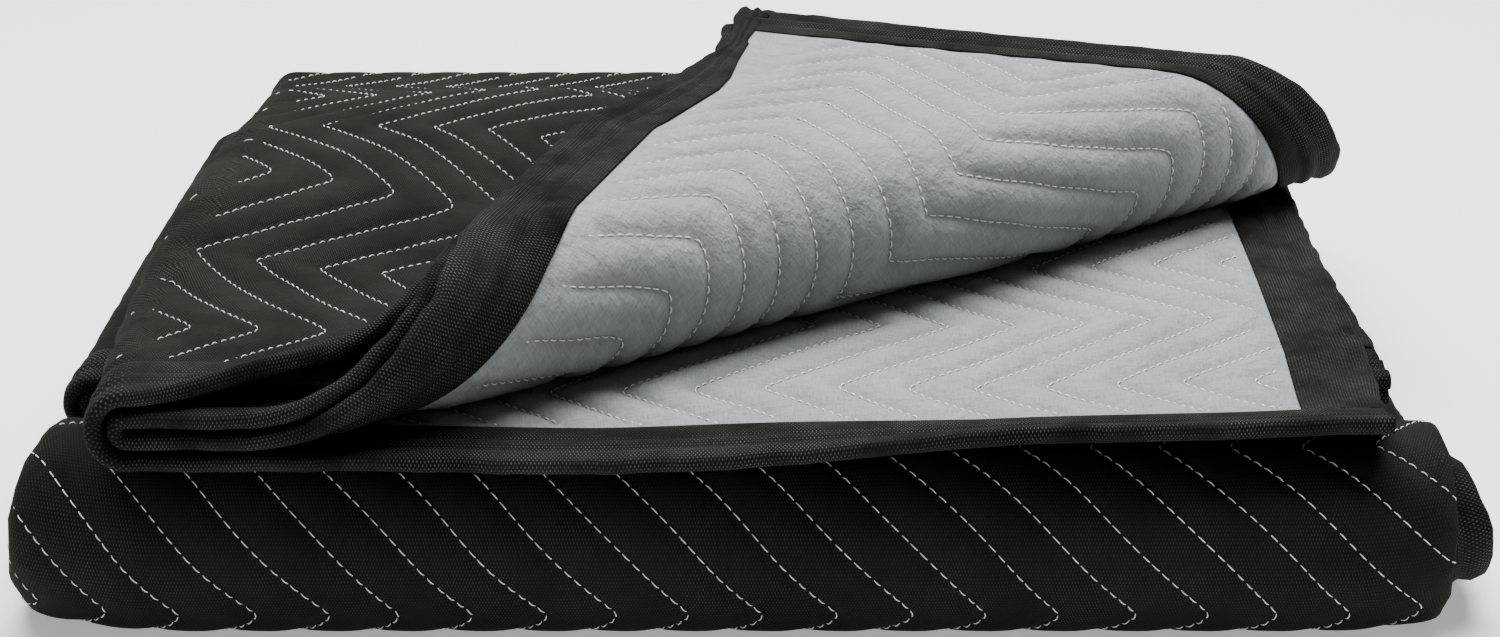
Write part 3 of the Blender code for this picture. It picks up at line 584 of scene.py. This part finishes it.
def face_points(side):
    """Flat points of one face, close together where it is seen, and the lines along its seams."""
    near = TAPE_LEG + EDGE_RAMP
    far_v = PAD_V - near
    front = BEND_START["front"] - FRONT_LEAD
    done = BEND_START["sink"] + FRONT_TRAIL
    parts, lines = [edge_points()], []

    def add_seams(*lattice):
        shift = sum(len(part) for part in parts)
        points, joined = seam_lattice(*lattice)
        parts.append(points)
        lines.extend((a + shift, b + shift) for a, b in joined)

    parts += [loop_lattice(loop) for loop in LOOPS]
    low = (near, LOW_END)
    top = (TOP_START, TOP_END)
    third = (THIRD_START, THIRD_END)
    flap = (FLAP_START, PAD_U - near)
    if side > 0:
        add_seams(*top, near, TOP_SECTION, FINE, FINE_ROW)
        add_seams(*top, TOP_SECTION, front, COARSE, COARSE_ROW)
        add_seams(*top, front, done, FINE, FRONT_ROW)
        parts.append(plain_lattice(*top, done, far_v))
        parts += [plain_lattice(*place, near, far_v) for place in (low, third, flap)]
    else:
        for place in (low, flap):
            add_seams(*place, near, GREY_SEEN, FINE, FINE_ROW)
            parts.append(plain_lattice(*place, GREY_SEEN, far_v))
        parts += [plain_lattice(*place, near, far_v) for place in (top, third)]
    return np.vstack(parts), lines


def triangulate(points, lines):
    """Flat triangles over the points, with the seams' lines among their edges."""
    flat = [Vector((float(u), float(v))) for u, v in points]
    result = delaunay_2d_cdt(flat, lines, [], 0, SAME_POINT)
    uv = np.array([[point.x, point.y] for point in result[0]])
    for axis, limit in enumerate((PAD_U, PAD_V)):
        column = uv[:, axis]
        column[column < ON_EDGE] = 0.0
        column[column > limit - ON_EDGE] = limit
    triangles = np.array([tuple(face) for face in result[2]])
    a, b, c = (uv[triangles[:, corner]] for corner in range(3))
    area = (b[:, 0] - a[:, 0]) * (c[:, 1] - a[:, 1]) - (b[:, 1] - a[:, 1]) * (c[:, 0] - a[:, 0])
    return uv, triangles[area > SLIVER]


def rim_order(uv):
    """The points on the four edges, in order once round."""
    u, v = uv[:, 0], uv[:, 1]
    ring = []
    for on_edge, along in ((v == 0.0, u), (u == PAD_U, v), (v == PAD_V, -u), (u == 0.0, -v)):
        for i in np.argsort(along):
            if on_edge[i] and (not ring or ring[-1] != i):
                ring.append(i)
    if ring[0] == ring[-1]:
        ring.pop()
    return ring


def paint_seam_shade(piece, uv, side):
    """How near each point lies to a seam, for the painted shade in the seams' hollows."""
    phase = seam_phase(uv[:, 0], uv[:, 1])
    near = np.clip(1.0 - np.minimum(phase, 1.0 - phase) * 2.0 / SEAM_SHADE, 0.0, 1.0) ** 2
    near = near * on_outside(uv[:, 0], uv[:, 1], side)
    layer = piece.data.attributes.new("seam_painted_shade", "FLOAT", "POINT")
    layer.data.foreach_set("value", near.astype(np.float32))


def add_object(name, data):
    made = bpy.data.objects.new(name, data)
    bpy.context.scene.collection.objects.link(made)
    return made


def make_piece(name, points, triangles, uv, slots, materials):
    """A mesh piece from flat arrays, kept over the floor, with the pad's own u and v as its map."""
    mesh = bpy.data.meshes.new(name)
    points = np.array(points, np.float32)
    points[:, 2] = np.maximum(points[:, 2], 0.0)
    triangles = np.asarray(triangles, np.int32)
    mesh.vertices.add(len(points))
    mesh.vertices.foreach_set("co", points.ravel())
    mesh.loops.add(triangles.size)
    mesh.loops.foreach_set("vertex_index", triangles.ravel())
    mesh.polygons.add(len(triangles))
    mesh.polygons.foreach_set("loop_start", np.arange(0, triangles.size, 3, dtype=np.int32))
    mesh.polygons.foreach_set("loop_total", np.full(len(triangles), 3, np.int32))
    for material in materials:
        mesh.materials.append(material)
    mesh.polygons.foreach_set("material_index", np.asarray(slots, np.int32))
    layer = mesh.uv_layers.new(name="cloth")
    layer.data.foreach_set("uv", np.asarray(uv, np.float32)[triangles.ravel()].ravel())
    mesh.update(calc_edges=True)
    mesh.validate()
    mesh.shade_smooth()
    return add_object(name, mesh)


# ---------------------------------------------------------------- materials
class Nodes:
    """Short names for the nodes of one material."""

    def __init__(self, name, colour, roughness, specular=None):
        self.material = bpy.data.materials.new(name)
        self.material.use_nodes = True
        self.tree = self.material.node_tree
        self.shader = self.tree.nodes["Principled BSDF"]
        self.shader.inputs["Base Color"].default_value = (*colour, 1.0)
        self.shader.inputs["Roughness"].default_value = roughness
        if specular is not None:
            self.shader.inputs["Specular IOR Level"].default_value = specular
        self.material.diffuse_color = (*colour, 1.0)

    def add(self, kind, numbers=(), **values):
        node = self.tree.nodes.new(kind)
        for key, value in values.items():
            setattr(node, key, value)
        for socket, number in dict(numbers).items():
            node.inputs[socket].default_value = number
        return node

    def link(self, source, target):
        self.tree.links.new(source, target)

    def paint(self, colour):
        self.link(colour, self.shader.inputs["Base Color"])

    def math(self, operation, a, b=None, clamp=False):
        node = self.add("ShaderNodeMath", operation=operation, use_clamp=clamp)
        for socket, value in zip(node.inputs, (a, b)):
            if value is None:
                continue
            if isinstance(value, (int, float)):
                socket.default_value = value
            else:
                self.link(value, socket)
        return node.outputs[0]

    def flat(self):
        """The pad's u and v, in metres: both together, and each alone."""
        uv = self.add("ShaderNodeUVMap", uv_map="cloth")
        parts = self.add("ShaderNodeSeparateXYZ")
        self.link(uv.outputs[0], parts.inputs[0])
        return uv.outputs[0], parts.outputs[0], parts.outputs[1]

    def noise(self, vector, scale, detail=3.0, rough=0.55):
        numbers = {"Scale": scale, "Detail": detail, "Roughness": rough}
        node = self.add("ShaderNodeTexNoise", numbers)
        self.link(vector, node.inputs["Vector"])
        return node.outputs["Fac"]

    def ramp(self, value, low, high, first, last):
        """First where the value is low, last where it is high, and even between."""
        numbers = {"From Min": low, "From Max": high, "To Min": first, "To Max": last}
        node = self.add("ShaderNodeMapRange", numbers)
        self.link(value, node.inputs["Value"])
        return node.outputs[0]

    def mix(self, factor, dark, light):
        node = self.add("ShaderNodeMix", data_type="RGBA")
        self.link(factor, node.inputs["Factor"])
        node.inputs["A"].default_value = (*dark, 1.0)
        node.inputs["B"].default_value = (*light, 1.0)
        return node.outputs["Result"]

    def bump(self, height, strength, distance, under=None):
        node = self.add("ShaderNodeBump", {"Strength": strength, "Distance": distance})
        self.link(height, node.inputs["Height"])
        if under is not None:
            self.link(under, node.inputs["Normal"])
        return node.outputs[0]


HONEYCOMB = 0.58         # rows of dots stand closer than the dots in a row
FRONT_SHADE_SPAN = (0.84, 0.92)         # painted shade: the black cloth is painted darker over this v, before the front fold, whose face gets less light
STREAKS = ((1500.0, 140.0), (140.0, 1500.0))    # the light weave's rates along u and v, each way
WEAVE_DEPTH = 0.0004     # of the bump of a weave


def woven(name, dark, light, pitch, lit_share, bump, front_shade=0.0):
    """Cloth with raised dots in a honeycomb where its threads cross; the dots are also painted lighter,
    in random patches, as painted highlights on the weave, and the front fold can be painted darker as
    painted shade.
    """
    nodes = Nodes(name, dark, roughness=0.90, specular=0.06)
    vector, u, v = nodes.flat()
    turn = 2.0 * math.pi / pitch
    wave_u = nodes.math("SINE", nodes.math("MULTIPLY", u, turn))
    wave_v = nodes.math("SINE", nodes.math("MULTIPLY", v, turn * HONEYCOMB))
    dots = nodes.ramp(nodes.math("MULTIPLY", wave_u, wave_v), 0.25, 0.92, first=0.0, last=1.0)
    patch_noise = nodes.noise(vector, scale=38.0, detail=4.0, rough=0.65)
    patches = nodes.ramp(patch_noise, 0.35, 0.65, first=1.0 - lit_share, last=1.0)
    lint = nodes.noise(vector, scale=700.0, detail=2.0, rough=0.7)
    fuzz = nodes.ramp(lint, 0.3, 0.7, first=0.55, last=1.15)
    cloud = nodes.noise(vector, scale=16.0, detail=3.0, rough=0.6)
    cloudy = nodes.ramp(cloud, 0.3, 0.7, first=0.0, last=0.10)
    # painted highlight: the dots are painted in the light colour, in random patches, for the glints on
    # the weave's raised threads
    lit = nodes.math("MULTIPLY", nodes.math("MULTIPLY", dots, patches), fuzz)
    tone = nodes.math("ADD", lit, cloudy, clamp=True)
    # painted shade: the black cloth's colour is darkened towards the front fold, standing in for the
    # dimmer light on its face
    tone = nodes.math("MULTIPLY", tone, nodes.ramp(v, *FRONT_SHADE_SPAN, first=1.0, last=1.0 - front_shade))
    nodes.paint(nodes.mix(tone, dark, light))
    lumps = nodes.noise(vector, scale=120.0, detail=4.0, rough=0.6)
    soft = nodes.bump(lumps, strength=0.6, distance=0.0016)
    nodes.link(nodes.bump(dots, bump, WEAVE_DEPTH, under=soft), nodes.shader.inputs["Normal"])
    return nodes.material


def grey_face():
    """The light face: closely woven, faintly streaked both ways, with painted shade along its seams."""
    light = (0.330, 0.348, 0.350)
    dark = (0.188, 0.202, 0.206)
    nodes = Nodes("grey_cloth_fine", light, roughness=0.9, specular=0.15)
    vector, u, v = nodes.flat()
    streaks = []
    for rate_u, rate_v in STREAKS:
        joined = nodes.add("ShaderNodeCombineXYZ")
        nodes.link(nodes.math("MULTIPLY", u, rate_u), joined.inputs[0])
        nodes.link(nodes.math("MULTIPLY", v, rate_v), joined.inputs[1])
        streaks.append(nodes.noise(joined.outputs[0], scale=1.0, detail=2.0, rough=0.5))
    weave = nodes.math("MULTIPLY", nodes.math("ADD", streaks[0], streaks[1]), 0.5)
    patch_noise = nodes.noise(vector, scale=30.0, detail=5.0, rough=0.62)
    threads = nodes.ramp(weave, 0.36, 0.64, first=0.0, last=0.7)
    patches = nodes.ramp(patch_noise, 0.3, 0.7, first=0.0, last=0.45)
    tone = nodes.math("ADD", threads, patches, clamp=True)
    # painted shade: the grey cloth is painted darker near the seams, standing in for the shade in their
    # hollows
    seam = nodes.add("ShaderNodeAttribute", attribute_name="seam_painted_shade").outputs["Fac"]
    tone = nodes.math("MULTIPLY", tone, nodes.ramp(seam, 0.0, 1.0, first=1.0, last=0.25))
    nodes.paint(nodes.mix(tone, dark, light))
    folds = nodes.noise(vector, scale=55.0, detail=5.0, rough=0.62)
    creased = nodes.bump(folds, strength=0.8, distance=0.0040)
    lumps = nodes.noise(vector, scale=190.0, detail=4.0, rough=0.65)
    soft = nodes.bump(lumps, strength=0.8, distance=0.0014, under=creased)
    nodes.link(nodes.bump(weave, 0.6, WEAVE_DEPTH, under=soft), nodes.shader.inputs["Normal"])
    return nodes.material


def thread_material():
    nodes = Nodes("quilting_thread", (0.90, 0.90, 0.88), roughness=0.6)
    twist = nodes.noise(nodes.flat()[0], scale=2500.0, detail=1.0, rough=0.5)
    nodes.paint(nodes.mix(twist, (0.78, 0.78, 0.76), (0.96, 0.96, 0.94)))
    return nodes.material


# ---------------------------------------------------------------- the cloth
def make_cloth(materials):
    """The whole quilted pad as one closed sheet."""
    faces_uv, points = [], []
    for side in (1, -1):
        uv, triangles = triangulate(*face_points(side))
        u, v = uv[:, 0], uv[:, 1]
        faces_uv.append((uv, triangles))
        points.append(fold(u, v, side * face_height(u, v, side))[0])
    (black_uv, black_faces), (grey_uv, grey_faces) = faces_uv
    shift = len(black_uv)
    ring_top = rim_order(black_uv)
    ring_bottom = [shift + i for i in rim_order(grey_uv)]
    assert len(ring_top) == len(ring_bottom)
    walls = []
    for i, top in enumerate(ring_top):
        j = (i + 1) % len(ring_top)
        walls.append((top, ring_bottom[i], ring_bottom[j]))
        walls.append((top, ring_bottom[j], ring_top[j]))
    faces = np.vstack((black_faces, grey_faces[:, ::-1] + shift, walls))
    slots = np.concatenate((np.zeros(len(black_faces)), np.ones(len(grey_faces)), np.zeros(len(walls))))
    uv = np.vstack((black_uv, grey_uv))
    made = make_piece("pad_quilt", np.vstack(points), faces, uv, slots, materials)
    paint_seam_shade(made, uv, np.concatenate((np.ones(len(black_uv)), -np.ones(len(grey_uv)))))
    return made


# ---------------------------------------------------------------- the tape
# Along a tape runs t, from the corner at u = 0 or v = 0, and d goes in from the pad's edge.
TapeEdge = namedtuple("TapeEdge", "axis far node")
TAPES = {                # its edge's axis, 0 for u and 1 for v, and whether it is the far edge
    "front": TapeEdge(1, False, "binding_front"),
    "end": TapeEdge(1, True, "binding_end"),
    "low": TapeEdge(0, False, "binding_side_low"),
    "flap": TapeEdge(0, True, "binding_side_flap"),
}
Ridge = namedtuple("Ridge", "d rise")
RIDGES = (               # the tape's face from its sewn edge to its fold
    Ridge(0.0320, -0.0006), Ridge(0.0315, -0.0001), Ridge(0.0290, 0.0002), Ridge(0.0250, 0.0003),
    Ridge(0.0215, 0.0000), Ridge(0.0200, -0.0005), Ridge(0.0185, 0.0001), Ridge(0.0160, 0.0009),
    Ridge(0.0135, 0.0006), Ridge(0.0115, -0.0004), Ridge(0.0095, -0.0005), Ridge(0.0075, 0.0001),
    Ridge(0.0045, 0.0009), Ridge(0.0012, 0.0004),
)
INSIDE = (0.0318, 0.0200, 0.0100, 0.0004)     # its inner face, at these d
RIM_STEPS = 10           # round its fold
Taper = namedtuple("Taper", "from_corner share")
TAPERS = (               # the front tape is narrower on the flap's light face, near its corner
    Taper(0.0, 0.52), Taper(0.018, 0.36), Taper(0.050, 0.22), Taper(0.085, 0.44),
    Taper(0.130, 0.78), Taper(0.18, 0.90), Taper(0.45, 0.86), Taper(0.50, 1.0),
)
TUCKED_ROW = 0.004       # the flap's side tape runs on under the front tape to here
TUCKED_LOW = 0.029       # and the low layer's to here
TUCK = 0.0004            # and there both lie this much flatter
RIM_WANDER = 0.0008      # the tape's fold strays in and out
RIM_WAVES = (Wave(1.0, 161.0, 0.0, 0.0), Wave(0.7, 263.0, 0.0, 1.1), Wave(0.5, 431.0, 0.0, 0.6))
WANDER_REACH = 0.008     # which dies out this far in
ROW_SEEN = 0.003         # between rows along a tape where it is seen
ROW_SIDE = 0.006         # along a side tape further back
ROW_END = 0.008          # and along the tape inside the stack
SIDE_SEEN = 0.46         # a side tape is seen up to this v
ROW_CLOSE = 0.0005       # no rows are closer than this


def tape_profile():
    """The tape's section, once round: distance in from the edge, and height."""
    skin = EDGE_HALF + TAPE_GAP + TAPE_THICK
    outer = [(ridge.d, skin + ridge.rise) for ridge in RIDGES]
    fold_d, half = outer[-1]
    turn = [(fold_d - half * math.sin(angle), half * math.cos(angle))
            for angle in np.linspace(0.0, math.pi, RIM_STEPS + 1)[1:-1]]
    lower = [(d, -height) for d, height in reversed(outer)]
    face = EDGE_HALF + TAPE_GAP * 0.5
    inside = [(d, -face) for d in INSIDE] + [(d, face) for d in reversed(INSIDE)]
    return np.array(outer + turn + lower + inside)


def fit_tape(edge, t, d, w):
    """The narrowing of the tape at the flap's corner, its tucked ends, and how its fold strays."""
    if edge == "front":
        share = read_off(TAPERS, PAD_U - t, "share")
        d = np.where((w < 0.0) & (d > 0.0), d * share, d)
    if edge in ("flap", "low"):
        tucked = np.maximum(np.abs(w) - TUCK, np.minimum(np.abs(w), EDGE_HALF + TAPE_GAP))
        w = np.where(t < CORNER_ROW, np.sign(w) * tucked, w)
    near_fold = np.clip(1.0 - d / WANDER_REACH, 0.0, 1.0)
    return d + RIM_WANDER * 0.5 * ripple(RIM_WAVES, t) * near_fold, w


def tape_stations(edge):
    """The places of a tape's rows along its edge."""
    if edge in ("front", "end"):
        step = ROW_SEEN if edge == "front" else ROW_END
        parts = [np.arange(0.0, PAD_U, step), [PAD_U]]
        parts += [np.linspace(loop.start, loop.end, loop.columns * 2 + 1) for loop in LOOPS]
        return spread(np.unique(np.round(np.concatenate(parts), DIGITS)), ROW_CLOSE)
    first = TUCKED_ROW if edge == "flap" else TUCKED_LOW
    last = PAD_V - CORNER_ROW
    parts = (np.arange(first, SIDE_SEEN, ROW_SEEN), np.arange(SIDE_SEEN, last, ROW_SIDE), [last])
    return spread(np.concatenate(parts), ROW_CLOSE)


def close_ends(made):
    """Fill the open ends of a tape."""
    mesh = bmesh.new()
    mesh.from_mesh(made.data)
    rims = [line for line in mesh.edges if line.is_boundary]
    bmesh.ops.holes_fill(mesh, edges=rims, sides=0)
    bmesh.ops.triangulate(mesh, faces=[face for face in mesh.faces if len(face.verts) > 3])
    bmesh.ops.recalc_face_normals(mesh, faces=mesh.faces)
    mesh.to_mesh(made.data)
    mesh.free()
    made.data.shade_smooth()


def make_tape(name, edge, material):
    """Tape folded over one edge of the pad, as one closed solid."""
    d, w = tape_profile().T
    t = tape_stations(edge)
    around = len(d)
    grid_t, grid_d = np.meshgrid(t, d, indexing="ij")
    grid_d, grid_w = fit_tape(edge, grid_t, grid_d, np.broadcast_to(w, grid_d.shape))
    axis = TAPES[edge].axis
    into = ((PAD_U, PAD_V)[axis] - grid_d) if TAPES[edge].far else grid_d
    u, v = (into, grid_t) if axis == 0 else (grid_t, into)
    points, _ = fold(u.ravel(), v.ravel(), grid_w.ravel())
    faces = []
    for row in range(0, (len(t) - 1) * around, around):
        for k in range(around):
            m = (k + 1) % around
            corners = (row + k, row + m, row + around + m, row + around + k)
            faces.append(corners[:3])
            faces.append((corners[0], corners[2], corners[3]))
    arc = np.concatenate(([0.0], np.cumsum(np.hypot(np.diff(d), np.diff(w)))))
    uv = np.stack([grid_t.ravel(), np.broadcast_to(arc, grid_d.shape).ravel()], -1)
    made = make_piece(name, points, faces, uv, np.zeros(len(faces)), [material])
    close_ends(made)
    return made


# ---------------------------------------------------------------- the stitches
STITCH_STEP = 0.0042     # from one stitch to the next
STITCH_LONG = 0.0029
STITCH_STRAY = 0.0002    # a stitch starts this much early or late
STITCH_LONGS = (0.85, 1.08)       # the shortest and the longest, as shares of STITCH_LONG
TRACE_STEP = 0.0005      # a seam is followed in steps of this
STITCH_SHARES = (0.0, 1 / 3, 2 / 3, 1.0)      # where a stitch's four rings stand along it
THREAD_SIDES = 5
THREAD_RADIUS = 0.00020
THREAD_BOLD = 0.00027    # on the light face
THREAD_THIN = 0.75       # a stitch's ends are thinner, by this share
THREAD_TIP = 0.0002      # and run out to a point over this much
THREAD_LIFT = 0.00060    # a stitch stands over the cloth by this
THREAD_DIP = 0.00015     # and its ends by this
SEED = 7

SEWN_IN = TAPE_LEG + 0.002        # stitches start this far in from the edge
GREY_SEWN = 0.40         # the light faces are sewn up to this v
FRONT_FIRST = BEND_START["front"] - 0.01      # where the front fold's stitches start
FRONT_LAST = BEND_START["sink"] + 0.05        # and end
Sewn = namedtuple("Sewn", "name side u_low u_high v_low v_high")
STITCHED = (
    Sewn("stitches_top", 1, LOW_END, THIRD_START, SEWN_IN, TOP_SECTION),
    Sewn("stitches_back_and_base", 1, LOW_END, THIRD_START, TOP_SECTION, FRONT_FIRST),
    Sewn("stitches_front", 1, LOW_END, THIRD_START, FRONT_FIRST, FRONT_LAST),
    Sewn("stitches_low_face", -1, SEWN_IN, LOW_END, SEWN_IN, GREY_SEWN),
    Sewn("stitches_flap_face", -1, FLAP_START, PAD_U - SEWN_IN, SEWN_IN, GREY_SEWN),
)


def seam_stitches(sewn):
    """Middle lines of the stitches on one face: four points (u, v) to a stitch."""
    rows = []
    generator = np.random.default_rng(SEED + sewn.side)
    v = np.arange(sewn.v_low, sewn.v_high, TRACE_STEP)
    first = int(sewn.u_low / STITCH_PITCH) - 1
    last = int((sewn.u_high + ZIG_REACH) / STITCH_PITCH) + 1
    for count in range(first, last + 1):
        u = seam_u(count, v, sewn.u_high <= LOW_END)
        run = np.concatenate(([0.0], np.cumsum(np.hypot(np.diff(u), np.diff(v)))))
        starts = np.arange(generator.uniform(0.0, STITCH_STEP), run[-1] - STITCH_LONG, STITCH_STEP)
        starts = starts + generator.uniform(-STITCH_STRAY, STITCH_STRAY, len(starts))
        longs = STITCH_LONG * generator.uniform(*STITCH_LONGS, len(starts))
        at = starts[:, None] + np.array(STITCH_SHARES) * longs[:, None]
        rows.append(np.stack([np.interp(at, run, u), np.interp(at, run, v)], -1))
    stitches = np.concatenate(rows)
    u = stitches[:, :, 0]
    return stitches[np.all((u > sewn.u_low) & (u < sewn.u_high), axis=1)]


def stitch_faces(rings, tip_first, tip_last):
    """One stitch's triangles: rings of points, closed by a point at each end."""
    turns = [(k, (k + 1) % THREAD_SIDES) for k in range(THREAD_SIDES)]
    last = (rings - 1) * THREAD_SIDES
    faces = []
    for ring in range(0, last, THREAD_SIDES):
        following = ring + THREAD_SIDES
        for k, m in turns:
            faces.append((ring + k, ring + m, following + m))
            faces.append((ring + k, following + m, following + k))
    for k, m in turns:
        faces.append((tip_first, m, k))
        faces.append((tip_last, last + k, last + m))
    return np.array(faces)


def make_stitches(sewn, material):
    """Small raised dashes of thread along the seams."""
    stitches = seam_stitches(sewn)
    u, v = stitches[:, :, 0], stitches[:, :, 1]
    lift = np.array([THREAD_DIP, THREAD_LIFT, THREAD_LIFT, THREAD_DIP])
    centre, normal = fold(u, v, sewn.side * (face_height(u, v, sewn.side) + lift))
    normal = normal * sewn.side
    along = np.gradient(centre, axis=1)
    along /= np.linalg.norm(along, axis=-1, keepdims=True)
    across = np.cross(along, normal)
    across /= np.linalg.norm(across, axis=-1, keepdims=True)
    angles = np.arange(THREAD_SIDES) * 2 * math.pi / THREAD_SIDES
    bold = THREAD_RADIUS if sewn.side > 0 else THREAD_BOLD
    radius = bold * np.array([THREAD_THIN, 1.0, 1.0, THREAD_THIN])
    ring = (centre[:, :, None] + radius[None, :, None, None] * (
        np.cos(angles)[None, None, :, None] * across[:, :, None]
        + np.sin(angles)[None, None, :, None] * normal[:, :, None]))
    first_tip = centre[:, 0] - along[:, 0] * THREAD_TIP
    last_tip = centre[:, -1] + along[:, -1] * THREAD_TIP
    tips = np.stack([first_tip, last_tip], 1)
    points = np.concatenate([ring.reshape(len(ring), -1, 3), tips], axis=1)
    count = points.shape[1]
    faces = stitch_faces(len(STITCH_SHARES), count - 2, count - 1)
    faces = (faces[None] + (np.arange(len(points)) * count)[:, None, None]).reshape(-1, 3)
    uv = np.repeat(stitches.mean(axis=1), count, axis=0)
    return make_piece(sewn.name, points.reshape(-1, 3), faces, uv, np.zeros(len(faces)), [material])


# ---------------------------------------------------------------- build
# painted shade: the black cloth's last argument paints its front fold darker
black_cloth = woven("black_cloth_fine", (0.0062, 0.0062, 0.0052), (0.064, 0.064, 0.055),
                    pitch=0.0011, lit_share=0.80, bump=0.6, front_shade=0.30)
# the light colours of the black cloth and of the tape are the painted highlights of their weave dots
tape_cloth = woven("black_tape_fine", (0.0012, 0.0012, 0.0012), (0.120, 0.120, 0.113),
                   pitch=0.0015, lit_share=0.90, bump=0.8)
grey_cloth = grey_face()
thread = thread_material()

quilt = make_cloth([black_cloth, grey_cloth])
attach(quilt, "root")
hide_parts("pad_cloth")

for edge, place in TAPES.items():
    tape = make_tape("tape_" + edge, edge, tape_cloth)
    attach(tape, "root")
    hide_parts(place.node)

for sewn in STITCHED:
    made = make_stitches(sewn, thread)
    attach(made, "root")


# ---------------------------------------------------------------- floor, light, camera
FLOOR_HALF = 6.0
FLOOR_GLOW = 0.42        # lifts the floor to a pale tone under the soft key light
WORLD_LIGHT = 0.09
Lamp = namedtuple("Lamp", "name place size power")
LAMPS = (
    Lamp("key", (0.0, 0.45, 1.85), (2.2, 1.6), 134.0),
    Lamp("fill", (-0.9, -1.6, 0.9), (1.2, 0.8), 1.2),
)
LAMPS_FACE = (0.0, 0.0, 0.05)
CAMERA_AT = (0.0, -1.3235, 0.484)
CAMERA_TILT = math.radians(71.5)  # from straight down
SENSOR = 36.0            # millimetres
LENS = 82.34
CAMERA_FAR = 30.0


def make_floor():
    half = FLOOR_HALF
    corners = [(-half, -half, 0.0), (half, -half, 0.0), (half, half, 0.0), (-half, half, 0.0)]
    mesh = bpy.data.meshes.new("floor")
    mesh.from_pydata(corners, [], [(0, 1, 2, 3)])
    nodes = Nodes("floor_paper", (0.93, 0.93, 0.93), roughness=0.9)
    place = nodes.add("ShaderNodeTexCoord").outputs["Object"]
    nodes.paint(nodes.mix(nodes.noise(place, scale=3.0), (0.92, 0.92, 0.92), (0.94, 0.94, 0.94)))
    nodes.shader.inputs["Emission Color"].default_value = (1.0, 1.0, 1.0, 1.0)
    nodes.shader.inputs["Emission Strength"].default_value = FLOOR_GLOW
    mesh.materials.append(nodes.material)
    add_object("floor", mesh)


def add_light(lamp):
    light = bpy.data.lights.new(lamp.name, "AREA")
    light.shape = "RECTANGLE"
    light.size, light.size_y = lamp.size
    light.energy = lamp.power
    made = add_object(lamp.name, light)
    made.location = lamp.place
    facing = Vector(LAMPS_FACE) - Vector(lamp.place)
    made.rotation_euler = facing.to_track_quat("-Z", "Y").to_euler()


def add_world():
    world = bpy.data.worlds.new("studio")
    world.use_nodes = True
    background = world.node_tree.nodes["Background"]
    background.inputs["Color"].default_value = (1.0, 1.0, 1.0, 1.0)
    background.inputs["Strength"].default_value = WORLD_LIGHT
    bpy.context.scene.world = world


def add_camera():
    camera = bpy.data.cameras.new("camera")
    camera.sensor_width = SENSOR
    camera.lens = LENS
    camera.clip_end = CAMERA_FAR
    made = add_object("camera", camera)
    made.location = CAMERA_AT
    made.rotation_euler = (CAMERA_TILT, 0.0, 0.0)
    bpy.context.scene.camera = made


make_floor()
add_world()
for lamp in LAMPS:
    add_light(lamp)
add_camera()
